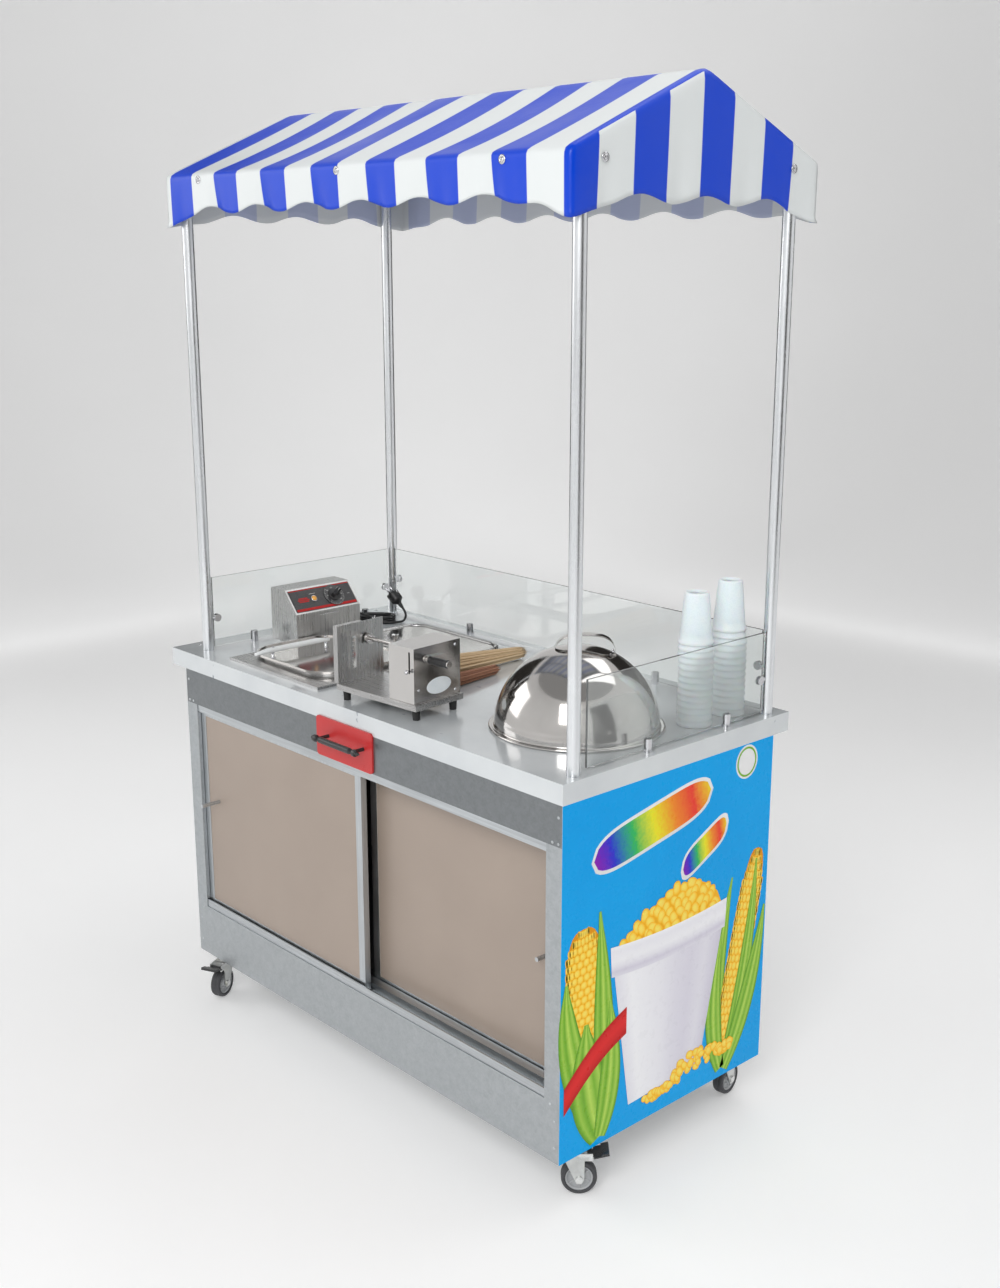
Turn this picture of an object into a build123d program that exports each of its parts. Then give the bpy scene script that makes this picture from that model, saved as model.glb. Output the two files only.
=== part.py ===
"""Push vending cart: sheet-metal cabinet on four casters, laminated worktop with fryer,
heated pan, hand-cranked potato cutter, cloche and cups, glass guards and a canopy on four poles.

Millimetres, +Z up. The cabinet is laid out about its own centre (X along the length, -Y the
operator's side) and everything is moved at the end so that the origin is the middle of the
whole cart's footprint on the floor.
"""
from build123d import *
from math import atan2, cos, hypot, radians, sin, sqrt, tan
import os

os.makedirs("parts", exist_ok=True)

# ---------------------------------------------------------------- driving dimensions
# cabinet
CAB_L = 1248.0                 # overall length of the sheet-metal cabinet
CAB_W = 600.0                  # overall depth of the cabinet
CAB_Z1 = 820.0                 # top of the cabinet, where the worktop sits
SHEET = 1.5                    # panel thickness
KICK_H = 125.0                 # kick panel height
APRON_H = 80.0                 # front apron height
STILE_W = 41.0                 # front end stile width
STILE_RETURN = 9.0             # depth of the stile's folded return
FRAME_TUBE = 25.0              # square frame tube
FRAME_WALL = 1.5
SHELF_DOWN = 2.0               # cabinet floor shelf below the kick panel's top
POST_BACK = 10.0               # frame posts behind the rear door
RIVET_R = 3.0
RIVET_HEAD = 1.6

# worktop
TOP_T = 40.0                   # worktop edge depth
TOP_SKIN = 2.0                 # sheet over the core
TOP_OVER_LEFT = 56.0
TOP_OVER_BACK = 48.0

# sliding doors and their tracks
DOOR_SHORT = 12.0              # each door is this much narrower than half the cabinet
DOOR_T = 14.0
DOOR_FRONT_Y = 10.0            # front door face behind the cabinet front
DOOR_REAR_Y = 50.0             # rear door face behind the cabinet front
DOOR_EDGE_W = 20.0             # aluminium edge profile width
DOOR_EDGE_T = 1.0              # the profile stands this far over the board
DOOR_RUN_GAP = 3.0             # door to track base and track roof
TRACK_H = 17.0
TRACK_WALL = 3.0
TRACK_FRONT = 2.0              # track set back from the cabinet front
DOOR_LEFT_SHUT_GAP = 38.0      # left door edge to left cabinet sheet, as it stands
PULL_R = 4.5
PULL_LEFT_L = 46.0
PULL_RIGHT_L = 23.0            # short enough to pass behind the front door
PULL_LEFT_INSET = 60.0
PULL_RIGHT_INSET = 87.0
PULL_LEFT_Z = 512.0
PULL_RIGHT_Z = 485.0

# drawer
DRAWER_W = 188.0               # front plate
DRAWER_H = 86.0
DRAWER_FRONT_T = 4.0
DRAWER_X = -8.0
DRAWER_TOP_Z = 826.0
DRAWER_DEPTH = 240.0
DRAWER_SIDE_GAP = 8.0          # box inside the front plate's outline
DRAWER_WALL = 1.5
DRAWER_CLEAR = 2.0
DRAWER_BOX_TOP = 5.0           # box top under the cabinet's top
DRAWER_FLOOR_Z = 748.0
HANDLE_L = 166.0
HANDLE_R = 6.6
HANDLE_OUT = 28.0              # bar axis in front of the drawer front
HANDLE_Z = 788.0
HANDLE_POST = 118.0            # distance between the posts
HANDLE_POST_R = 4.0

# poles and canopy
POLE_R = 12.5
POLE_WALL = 1.5
POLE_IN_X = 24.0               # pole axis in from the cabinet's ends
POLE_IN_FRONT = 49.0           # front pole axis behind the cabinet's front
POLE_OUT_BACK = 4.0            # back pole axis behind the cabinet's back
POLE_SOCKET = 34.0             # depth the pole goes into the worktop
POLE_FIT = 0.2
EAVE_Z = 1923.0                # outer fold of the canopy at the eaves
RIDGE_RISE = 145.0
VALANCE_H = 108.0
CANOPY_OVER_X = 18.0           # canopy past the pole axes at its ends
CANOPY_OVER_FRONT = 41.0
CANOPY_OVER_BACK = 65.0
COVER_T = 2.5
COVER_GAP = 3.0                # cover to the frame inside it
CANOPY_BAR = 20.0              # square bar of the canopy frame
CANOPY_BAR_WALL = 1.5
SCREW_R = 8.0
SCREW_T = 3.0
SCREW_SHARES = (-0.78, 0.0, 0.74)   # along the half length of the eaves
SCREW_GABLE = (0.12, 0.88)     # along the gables
SCREW_DOWN = 12.8              # screw axis below the eave

# glass guards
GLASS_T = 5.0
GLASS_LIFT = 6.0               # glass edge above the worktop
GLASS_TOP = 171.0              # top of the glass above the worktop
GLASS_POLE_GAP = 4.0
CLAMP_R = 9.0
CLAMP_H = 26.0
CLAMP_LIP = 14.0               # how far the clamps reach over the glass
CLAMP_CHEEK = 3.0              # clamp metal each side of the glass
CLAMP_Z = 74.0                 # lower pole clamps above the worktop
CLAMP_STEP = 22.0              # upper pole clamps above the lower ones
STUD_LEFT = (-150.0, 185.0)    # studs under the left pane, from its middle
STUD_RIGHT = (-80.0, 150.0)
STUD_BACK = (-0.5, 0.0, 0.5)   # studs under the back pane, shares of its half length

# casters
WHEEL_R = 35.0
WHEEL_W = 24.0
TYRE_T = 8.0
HUB_W = 20.0
AXLE_R = 5.0
AXLE_FIT = 0.06
TRAIL = 22.0
CASTER_PLATE = 60.0
CASTER_PLATE_T = 3.0
STEM_R = 7.0
STEM_FIT = 0.06
FORK_T = 2.5
FORK_GAP = 1.5                 # wheel face to fork cheek
FORK_OVER = 18.0               # fork crown above the wheel
CROWN_TO_CABINET = 17.0        # fork crown's underside to the cabinet
RACE_R = 21.0
BOLT_R = 4.0
BOLT_HEAD = 4.0
# each caster's stem, in from the cabinet's end and side, and the heading it trails along
CASTER_SPOTS = {"fl": (-1, 58.0, -1, 34.0, -65.0), "fr": (1, 43.0, -1, 67.0, 47.0),
                "bl": (-1, 58.0, 1, 48.0, 100.0), "br": (1, 62.0, 1, 48.0, 98.0)}
BRAKE_PIN_R = 3.0
BRAKE_PIN_DOWN = 8.0           # brake pin below the fork crown
BRAKE_PIN_OUT = 21.0
BRAKE_T = 2.5
BRAKE_L = 38.0
BRAKE_W = 40.0
BRAKE_TILT = 14.0

# fryer
FRYER_FROM_POLE = 110.0        # left edge of the tank flange from the left poles
FRYER_FLANGE_L = 340.0
FRYER_FROM_FRONT = 36.0
FRYER_FLANGE_W = 304.0
FLANGE_T = 6.0
TANK_SIDE = 17.0               # flange left of the tank opening
TANK_FRONT = 50.0              # flange in front of the tank opening
TANK_L = 280.0
TANK_W = 228.0
TANK_R = 62.0
TANK_WALL = 1.5
TANK_DEPTH = 110.0
TANK_RIM_UP = 7.0              # tank rim above the flange
CUT_CLEAR = 3.0                # worktop cut-out around a tank or pan
LID_T = 1.5
LID_RIM_H = 5.0
LID_RIM_W = 4.0
LID_OVER = 11.0                # lid reaches past the tank rim
LID_GAP = 0.3
LID_HANDLE_R = 6.5
LID_HANDLE_L = 205.0
LID_HANDLE_X = 86.0            # bar from the left end of the tank opening
LID_HANDLE_UP = 20.0
LID_HANDLE_FRONT = 36.0        # bar reaches in front of the lid
HEAD_L = 104.0
HEAD_W = 187.0
HEAD_H = 126.0
HEAD_FROM_BACK = 379.0         # front end of the head from the back poles
HEAD_TOP_L = 58.0
HEAD_SLOPE_Z = 74.0
HEAD_SHEET = 1.5
PANEL_T = 1.5
PANEL_EDGE = 5.0
DIAL_R = 28.0
DIAL_T = 3.0
KNOB_R = 16.0
KNOB_H = 18.0
KNOB_SHAFT_R = 3.0
KNOB_SHAFT_FIT = 0.06
KNOB_Y = 126.0                 # knob from the front end of the head
LAMP_Y = 67.0
LAMP_R = 6.0
LAMP_H = 5.0

# heated pan behind the fryer
PAN_IN = 38.0                  # pan's left edge from the flange's left edge
PAN_L = 330.0
PAN_BEHIND = 16.0              # pan behind the flange
PAN_FROM_BACK = 38.0           # pan in front of the cabinet's back
PAN_R = 52.0
PAN_RIM_R = 6.0
PAN_WALL = 1.5
PAN_DEPTH = 90.0
PAN_LID_T = 2.0
PAN_LID_GAP = 1.0
PAN_KNOB_R = 9.0
PAN_KNOB_H = 16.0
PAN_KNOB_X = 110.0
PAN_KNOB_Y = 46.0

# power cord
CORD_R = 3.0
GLAND_R = 8.0
GLAND_L = 12.0
GLAND_Z = 38.0
HANK_L = 90.0
HANK_W = 54.0
HANK_BAND = 13.0
HANK_H = 20.0
HANK_IN = 47.0                 # hank's centre from the left poles
HANK_FROM_BACK = 91.0
HANK_TURN = 45.0
PLUG_R = 16.0
PLUG_BODY = 30.0
PLUG_NECK = 16.0
PLUG_NECK_R = 6.5
PIN_R = 2.4
PIN_L = 19.0
PIN_SPAN = 19.0
PLUG_LEAN = (-0.64, -0.21, 0.74)
PLUG_FROM_HANK = (30.0, 59.0, 33.0)   # cord end at the plug: from the hank, and above the worktop
PLUG_LEAD = 18.0               # straight cord below the plug
LEAD_OUT = 20.0                # straight cord out of the gland
LEAD_BEND = (3.0, 24.0, -16.0)     # from there to the lead's bend
RUN_STEPS = ((9.0, -14.0), (7.0, -38.0), (-4.0, -57.0))   # cord on the worktop, from the plug's lead

# cutter, laid out from its base's near left corner
CUTTER_X = -66.0
CUTTER_FROM_FRONT = 25.0
CUTTER_TURN = 4.0
CUT_BASE_L = 238.0
CUT_BASE_W = 133.0
CUT_BASE_T = 2.0
CUT_BASE_SKIRT = 12.0
CUT_FOOT_R = 9.0
CUT_FOOT_H = 22.0
CUT_FOOT_INSET = 15.0
CUT_PLATE_H = 122.0
CUT_PLATE_T = 2.0
CUT_PLATE_FLANGE = 11.0
CUT_PLATE_EDGE = 3.0
CUT_SHAFT_Y = 82.0
CUT_SHAFT_Z = 119.0
CUT_SHAFT_R = 4.0
CUT_HUB_R = 11.0
CUT_HUB_T = 7.0
CUT_WINDOW_Y = 38.0
CUT_WINDOW_W = 16.0
CUT_WINDOW_Z = 60.0
CUT_WINDOW_H = 68.0
BLADE_TEETH = 8
BLADE_T = 2.5
BOX_L = 72.0
BOX_W = 129.0
BOX_H = 114.0
BOX_LIP = 8.0                  # base plate showing past the gearbox
BOX_SHEET = 1.5
BOX_EDGE = 3.5
SLOT_W = 4.4
SLOT_Z = 96.0
SLOT_H = 44.0
SLOT_FROM_FRONT = 13.0         # slot centre from the crank end of the gearbox
LEVER_R = 2.0
LEVER_BALL_R = 4.5
LEVER_TRAVEL = 26.0
CRANK_ARM = 41.0
CRANK_ANGLE = 177.0
CRANK_T = 5.0
CRANK_W = 14.0
CRANK_GAP = 1.0
GRIP_R = 8.5
GRIP_L = 52.0
GRIP_PIN_R = 3.5
GRIP_FIT = 0.08
GRIP_CAP_T = 3.0

# cloche
CLOCHE_FROM_END = 227.0
CLOCHE_Y = -36.0
CLOCHE_RIM_R = 173.5
CLOCHE_R = 162.0
CLOCHE_H = 162.0
CLOCHE_BAND_H = 16.0
CLOCHE_T = 1.5
CLOCHE_RIM_T = 5.0
CLOCHE_STRAP_W = 25.0
CLOCHE_STRAP_T = 3.0
CLOCHE_STRAP_SPAN = 62.0
CLOCHE_STRAP_RISE = 21.0
CLOCHE_STRAP_OFF = 12.0         # strap centre beside the dome's centre
CLOCHE_TURN = 47.0

# cups and skewers
# each stack's centre in from the right poles, in front of the back poles, and its cups' pitch
CUP_PLACES = {"front": (55.0, 162.0, 12.7), "back": (60.0, 54.0, 13.3)}
CUP_COUNT = 14
CUP_RIM_R = 34.0
CUP_BASE_R = 24.0
CUP_H = 102.0
CUP_WALL = 1.1
CUP_BEAD = 1.0
SKEWER_X = -30.0
SKEWER_Y = -54.0
SKEWER_TURN = 93.0
SKEWER_L = 300.0
SKEWER_R = 30.0                # fanned handle end
SKEWER_TIP_R = 14.0
SHORT_X = 34.0
SHORT_Y = -60.0
SHORT_TURN = 97.0
SHORT_L = 170.0
SHORT_R = 16.0
SHORT_TIP_R = 11.0

STAND_GAP = 0.3                # loose pieces rest this far over what carries them

# ---------------------------------------------------------------- derived places
CAB_X = CAB_L / 2
CAB_Y = CAB_W / 2
FORK_TOP_Z = 2 * WHEEL_R + FORK_OVER
CAB_Z0 = FORK_TOP_Z + CROWN_TO_CABINET
BRAKE_PIN_Z = FORK_TOP_Z - BRAKE_PIN_DOWN
IN_X = CAB_X - SHEET
IN_Y = CAB_Y - SHEET
TOP_Z = CAB_Z1 + TOP_T
KICK_Z = CAB_Z0 + KICK_H
SHELF_Z = KICK_Z - SHELF_DOWN
APRON_Z = CAB_Z1 - APRON_H
TOP_X0 = -CAB_X - TOP_OVER_LEFT
TOP_Y1 = CAB_Y + TOP_OVER_BACK
RIDGE_Z = EAVE_Z + RIDGE_RISE
POLE_X = CAB_X - POLE_IN_X
POLE_Y_FRONT = -CAB_Y + POLE_IN_FRONT
POLE_Y_BACK = CAB_Y + POLE_OUT_BACK
CANOPY_X = POLE_X + CANOPY_OVER_X
CANOPY_Y_FRONT = POLE_Y_FRONT - CANOPY_OVER_FRONT
CANOPY_Y_BACK = POLE_Y_BACK + CANOPY_OVER_BACK
CANOPY_Y = (CANOPY_Y_FRONT + CANOPY_Y_BACK) / 2
DOOR_W = CAB_X - DOOR_SHORT
FRYER_X0 = -POLE_X + FRYER_FROM_POLE
FRYER_Y0 = -CAB_Y + FRYER_FROM_FRONT
HEAD_Y0 = POLE_Y_BACK - HEAD_FROM_BACK
PAN_X0 = FRYER_X0 + PAN_IN
PAN_Y0 = FRYER_Y0 + FRYER_FLANGE_W + PAN_BEHIND
PAN_W = CAB_Y - PAN_FROM_BACK - PAN_Y0
HANK_X = -POLE_X + HANK_IN
HANK_Y = POLE_Y_BACK - HANK_FROM_BACK
CUTTER_Y = -CAB_Y + CUTTER_FROM_FRONT
CLOCHE_X = CAB_X - CLOCHE_FROM_END
POLE_Y = {"f": POLE_Y_FRONT, "b": POLE_Y_BACK}

MIN3 = (Align.MIN, Align.MIN, Align.MIN)
nodes = {}


# ---------------------------------------------------------------- helpers
def block(x0, x1, y0, y1, z0, z1):
    """Solid box between two corners."""
    return Pos(x0, y0, z0) * Box(x1 - x0, y1 - y0, z1 - z0, align=MIN3)


def rod(start, direction, length, radius):
    """Round bar from a point along a direction."""
    return Solid.make_cylinder(radius, length, Plane(origin=start, z_dir=direction))


def pipe(start, direction, length, radius, wall):
    """Round tube from a point along a direction."""
    return rod(start, direction, length, radius) - rod(start, direction, length, radius - wall)


def square_tube(x0, x1, y0, y1, z0, z1, along, wall):
    """Square tube filling a box, open at both ends along one axis."""
    outer = block(x0, x1, y0, y1, z0, z1)
    gap = {axis: (0 if axis == along else wall) for axis in "xyz"}
    inner = block(x0 + gap["x"], x1 - gap["x"], y0 + gap["y"], y1 - gap["y"],
                  z0 + gap["z"], z1 - gap["z"])
    return outer - inner


def rounded_plate(x0, y0, length, width, radius, z0, z1):
    """Upright prism over a rectangle with rounded corners."""
    face = Pos(x0 + length / 2, y0 + width / 2, z0) * RectangleRounded(length, width, radius)
    return extrude(face, amount=z1 - z0, dir=(0, 0, 1))


def rounded_ring(x0, y0, length, width, radius, band, z0, z1):
    """Upright wall of one thickness just inside a rounded rectangle."""
    outer = rounded_plate(x0, y0, length, width, radius, z0, z1)
    inner = rounded_plate(x0 + band, y0 + band, length - 2 * band, width - 2 * band,
                          radius - band, z0, z1)
    return outer - inner


def prism(points, plane, depth):
    """Extrude a polygon given in a plane's own coordinates along that plane's normal."""
    face = plane * make_face(Polyline(*points, close=True))
    return extrude(face, amount=depth, dir=plane.z_dir)


def as_group(solids):
    """Several separate solids as one shape."""
    flat = []
    for item in solids:
        flat.extend(item.solids())
    return Compound(flat)


def arcs_for(points, radii_share=0.45):
    """Largest even bend at each corner of a cord's route."""
    corners = [Vector(*p) for p in points]
    radii = []
    for before, here, after in zip(corners, corners[1:], corners[2:]):
        turn = radians((here - before).get_angle(after - here))
        short = min((here - before).length, (after - here).length)
        radii.append(radii_share * short / tan(turn / 2))
    return radii


def cord_tube(points, radius, label):
    """Cord as straight runs joined by tangent arcs."""
    radii = arcs_for(points)
    path = FilletPolyline(*points, radius=radii)
    print("cord", label, "length", round(path.length, 1), "bends", [round(r, 1) for r in radii])
    profile = Plane(origin=path @ 0, z_dir=path % 0) * Circle(radius)
    tube = sweep(profile, path=path)
    print("  volume over section x length", round(tube.volume / (Circle(radius).area * path.length), 4))
    return tube


# ---------------------------------------------------------------- cabinet
def cabinet():
    post_y0 = -CAB_Y + DOOR_REAR_Y + DOOR_T + POST_BACK
    back_y1 = IN_Y
    left, right = -IN_X, IN_X
    tubes = []
    for x0 in (left, right - FRAME_TUBE):
        for y0 in (post_y0, back_y1 - FRAME_TUBE):
            tubes.append(square_tube(x0, x0 + FRAME_TUBE, y0, y0 + FRAME_TUBE,
                                     CAB_Z0, CAB_Z1, "z", FRAME_WALL))
        for z0 in (CAB_Z0, CAB_Z1 - FRAME_TUBE):
            tubes.append(square_tube(x0, x0 + FRAME_TUBE, post_y0 + FRAME_TUBE,
                                     back_y1 - FRAME_TUBE, z0, z0 + FRAME_TUBE, "y", FRAME_WALL))
    long_x0, long_x1 = left + FRAME_TUBE, right - FRAME_TUBE
    for y0, z0 in ((post_y0, CAB_Z0), (back_y1 - FRAME_TUBE, CAB_Z0),
                   (back_y1 - FRAME_TUBE, CAB_Z1 - FRAME_TUBE)):
        tubes.append(square_tube(long_x0, long_x1, y0, y0 + FRAME_TUBE, z0, z0 + FRAME_TUBE,
                                 "x", FRAME_WALL))
    nodes["frame_tubes"] = as_group(tubes)

    shelf = block(left, right, -IN_Y, IN_Y, SHELF_Z - SHEET, SHELF_Z)
    for x0 in (left, right - FRAME_TUBE):
        for y0 in (post_y0, back_y1 - FRAME_TUBE):
            shelf -= block(x0 - SHEET, x0 + FRAME_TUBE + SHEET, y0 - SHEET,
                           y0 + FRAME_TUBE + SHEET, SHELF_Z - SHEET, SHELF_Z)
    nodes["bottom_shelf"] = shelf

    nodes["rear_and_left_panels"] = as_group([
        block(-CAB_X, -IN_X, -CAB_Y, CAB_Y, CAB_Z0, CAB_Z1),
        block(-IN_X, IN_X, IN_Y, CAB_Y, CAB_Z0, CAB_Z1),
    ])
    nodes["side_panel_right"] = block(IN_X, CAB_X, -CAB_Y, CAB_Y, CAB_Z0, CAB_Z1)

    # apron: a folded channel with a hole for the drawer
    apron = block(-IN_X, IN_X, -CAB_Y, -IN_Y, APRON_Z, CAB_Z1)
    apron += block(-IN_X, IN_X, -IN_Y, -CAB_Y + FRAME_TUBE, CAB_Z1 - SHEET, CAB_Z1)
    box_x0 = DRAWER_X - DRAWER_W / 2 + DRAWER_SIDE_GAP
    box_x1 = DRAWER_X + DRAWER_W / 2 - DRAWER_SIDE_GAP
    apron -= block(box_x0 - DRAWER_CLEAR, box_x1 + DRAWER_CLEAR, -CAB_Y, -IN_Y,
                   DRAWER_FLOOR_Z - DRAWER_CLEAR, CAB_Z1 - DRAWER_BOX_TOP + DRAWER_CLEAR)
    nodes["front_apron"] = apron

    kick = block(-IN_X, IN_X, -CAB_Y, -IN_Y, CAB_Z0, KICK_Z)
    kick += block(-IN_X, IN_X, -IN_Y, -CAB_Y + FRAME_TUBE, CAB_Z0, CAB_Z0 + SHEET)

    stiles = [kick]
    for side in (-1, 1):
        outer, inner = side * IN_X, side * (CAB_X - STILE_W)
        face = block(min(outer, inner), max(outer, inner), -CAB_Y, -IN_Y, KICK_Z, APRON_Z)
        lip = inner + side * SHEET
        fold = block(min(inner, lip), max(inner, lip), -IN_Y,
                     -CAB_Y + STILE_RETURN, KICK_Z + TRACK_H + TRACK_WALL,
                     APRON_Z - TRACK_H - TRACK_WALL)
        stiles.append(face + fold)
    nodes["kick_and_stiles"] = as_group(stiles)

    track_y0 = -CAB_Y + TRACK_FRONT
    front_y1 = -CAB_Y + DOOR_FRONT_Y + DOOR_T + DOOR_RUN_GAP
    rear_y0 = -CAB_Y + DOOR_REAR_Y - DOOR_RUN_GAP
    rear_y1 = -CAB_Y + DOOR_REAR_Y + DOOR_T + DOOR_RUN_GAP
    walls = ((track_y0, track_y0 + TRACK_WALL), (front_y1, rear_y0), (rear_y1, rear_y1 + TRACK_WALL))
    bottom = block(-IN_X, IN_X, track_y0, walls[-1][1], SHELF_Z, SHELF_Z + TRACK_WALL)
    roof = block(-IN_X, IN_X, track_y0, walls[-1][1], APRON_Z - TRACK_WALL, APRON_Z)
    for y0, y1 in walls:
        bottom += block(-IN_X, IN_X, y0, y1, SHELF_Z, SHELF_Z + TRACK_H + TRACK_WALL)
        roof += block(-IN_X, IN_X, y0, y1, APRON_Z - TRACK_H, APRON_Z)
    nodes["door_tracks"] = as_group([bottom, roof])
    nodes["panel_rivets"] = rivets()


def rivets():
    """Dome rivets at the ends of the apron and kick panel."""
    spots = []
    for side in (-1, 1):
        for inset, z in ((RIVET_R * 3, CAB_Z1 - APRON_H * 0.3), (RIVET_R * 3, APRON_Z + RIVET_R * 2),
                         (RIVET_R * 8, APRON_Z + RIVET_R * 2), (RIVET_R * 4, CAB_Z0 + KICK_H * 0.25),
                         (RIVET_R * 4, CAB_Z0 + KICK_H * 0.7), (RIVET_R * 8, KICK_Z - RIVET_R * 2)):
            spots.append((side * (IN_X - inset), z))
    heads = []
    for x, z in spots:
        heads.append(rod((x, -CAB_Y, z), (0, -1, 0), RIVET_HEAD, RIVET_R))
    return as_group(heads)


# ---------------------------------------------------------------- worktop
def worktop():
    x0, x1, y0, y1 = TOP_X0, CAB_X, -CAB_Y, TOP_Y1
    skin = block(x0, x1, y0, y1, CAB_Z1, TOP_Z)
    skin -= block(x0 + TOP_SKIN, x1 - TOP_SKIN, y0 + TOP_SKIN, y1 - TOP_SKIN,
                  CAB_Z1, TOP_Z - TOP_SKIN)
    core = block(x0 + TOP_SKIN, x1 - TOP_SKIN, y0 + TOP_SKIN, y1 - TOP_SKIN,
                 CAB_Z1, TOP_Z - TOP_SKIN)
    tank_x0 = FRYER_X0 + TANK_SIDE - TANK_WALL - CUT_CLEAR
    tank_y0 = FRYER_Y0 + TANK_FRONT - TANK_WALL - CUT_CLEAR
    grow = 2 * (TANK_WALL + CUT_CLEAR)
    tank_hole = rounded_plate(tank_x0, tank_y0, TANK_L + grow, TANK_W + grow,
                              TANK_R + grow / 2, CAB_Z1 - TOP_T, TOP_Z + TOP_T)
    pan_hole = rounded_plate(PAN_X0 + PAN_RIM_R - CUT_CLEAR, PAN_Y0 + PAN_RIM_R - CUT_CLEAR,
                             PAN_L - 2 * (PAN_RIM_R - CUT_CLEAR), PAN_W - 2 * (PAN_RIM_R - CUT_CLEAR),
                             PAN_R - PAN_RIM_R + CUT_CLEAR, CAB_Z1 - TOP_T, TOP_Z + TOP_T)
    for hole in (tank_hole, pan_hole):
        skin -= hole
        core -= hole
    for x in (-POLE_X, POLE_X):
        for y in POLE_Y.values():
            bore = rod((x, y, TOP_Z - POLE_SOCKET), (0, 0, 1), TOP_T, POLE_R + POLE_FIT)
            skin -= bore
            core -= bore
    nodes["worktop_skin"] = skin
    nodes["worktop_core"] = core


# ---------------------------------------------------------------- doors
def door(name, x0, face_y, pull_x, pull_z, pull_len):
    """Framed sliding door; face_y is its front."""
    z0 = SHELF_Z + TRACK_WALL + DOOR_RUN_GAP
    z1 = APRON_Z - TRACK_WALL - DOOR_RUN_GAP
    x1 = x0 + DOOR_W
    board_y0, board_y1 = face_y + DOOR_EDGE_T, face_y + DOOR_T - DOOR_EDGE_T
    board = block(x0 + DOOR_EDGE_T, x1 - DOOR_EDGE_T, board_y0, board_y1,
                  z0 + DOOR_EDGE_T, z1 - DOOR_EDGE_T)
    bore = rod((pull_x, face_y, pull_z), (0, 1, 0), DOOR_T, PULL_R)
    nodes[f"door_{name}_panel"] = board - bore
    wrap = block(x0, x1, face_y, face_y + DOOR_T, z0, z1)
    wrap -= block(x0 + DOOR_EDGE_T, x1 - DOOR_EDGE_T, board_y0, board_y1,
                  z0 + DOOR_EDGE_T, z1 - DOOR_EDGE_T)
    wrap -= block(x0 + DOOR_EDGE_W, x1 - DOOR_EDGE_W, face_y, face_y + DOOR_T,
                  z0 + DOOR_EDGE_W, z1 - DOOR_EDGE_W)
    pull = rod((pull_x, face_y + DOOR_T - DOOR_EDGE_T, pull_z), (0, -1, 0),
               pull_len + DOOR_T - DOOR_EDGE_T, PULL_R)
    nodes[f"door_{name}_frame"] = as_group([wrap, pull])


def doors():
    left_x0 = -IN_X + DOOR_LEFT_SHUT_GAP
    right_x1 = IN_X - DOOR_RUN_GAP
    door("left", left_x0, -CAB_Y + DOOR_FRONT_Y, left_x0 + PULL_LEFT_INSET, PULL_LEFT_Z,
         PULL_LEFT_L)
    door("right", right_x1 - DOOR_W, -CAB_Y + DOOR_REAR_Y, right_x1 - PULL_RIGHT_INSET,
         PULL_RIGHT_Z, PULL_RIGHT_L)


# ---------------------------------------------------------------- drawer
def drawer():
    front_y = -CAB_Y - STAND_GAP
    x0, x1 = DRAWER_X - DRAWER_W / 2, DRAWER_X + DRAWER_W / 2
    corner = DRAWER_H / 11
    face = Plane(origin=(DRAWER_X, front_y, DRAWER_TOP_Z - DRAWER_H / 2), x_dir=(1, 0, 0),
                 z_dir=(0, -1, 0)) * RectangleRounded(DRAWER_W, DRAWER_H, corner)
    nodes["drawer_front"] = extrude(face, amount=DRAWER_FRONT_T, dir=(0, -1, 0))

    bx0, bx1 = x0 + DRAWER_SIDE_GAP, x1 - DRAWER_SIDE_GAP
    z1 = CAB_Z1 - DRAWER_BOX_TOP
    tray = block(bx0, bx1, front_y, front_y + DRAWER_DEPTH, DRAWER_FLOOR_Z, z1)
    tray -= block(bx0 + DRAWER_WALL, bx1 - DRAWER_WALL, front_y + DRAWER_WALL,
                  front_y + DRAWER_DEPTH - DRAWER_WALL, DRAWER_FLOOR_Z + DRAWER_WALL, z1)
    nodes["drawer_box"] = tray

    runners = []
    ry0, ry1 = -CAB_Y + FRAME_TUBE + DRAWER_CLEAR, front_y + DRAWER_DEPTH
    for side, edge in ((-1, bx0 - DRAWER_CLEAR / 2), (1, bx1 + DRAWER_CLEAR / 2)):
        web = edge + side * SHEET
        foot = edge - side * SHEET * 8
        z0 = DRAWER_FLOOR_Z - STAND_GAP - SHEET
        runners.append(block(min(edge, web), max(edge, web), ry0, ry1, z0, CAB_Z1)
                       + block(min(foot, web), max(foot, web), ry0, ry1, z0, z0 + SHEET))
    nodes["drawer_runners"] = as_group(runners)

    # turned bar handle: a revolved profile with beads and pointed ends
    half = HANDLE_L / 2
    bead = HANDLE_R * 1.15
    neck = HANDLE_R * 0.55
    outline = [(-half, 0), (-half * 0.93, neck), (-half * 0.88, neck), (-half * 0.84, bead),
               (-half * 0.76, bead), (-half * 0.72, neck), (-half * 0.60, HANDLE_R),
               (half * 0.60, HANDLE_R), (half * 0.72, neck), (half * 0.76, bead),
               (half * 0.84, bead), (half * 0.88, neck), (half * 0.93, neck), (half, 0)]
    profile = make_face(Polyline(*outline, close=True))
    bar = revolve(profile, axis=Axis.X, revolution_arc=360)
    bar_y = front_y - DRAWER_FRONT_T - HANDLE_OUT
    bar = Pos(DRAWER_X + HANDLE_R, bar_y, HANDLE_Z) * bar
    for side in (-1, 1):
        bar += rod((DRAWER_X + HANDLE_R + side * HANDLE_POST / 2, bar_y, HANDLE_Z), (0, 1, 0),
                   HANDLE_OUT, HANDLE_POST_R)
    nodes["drawer_handle"] = bar


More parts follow.
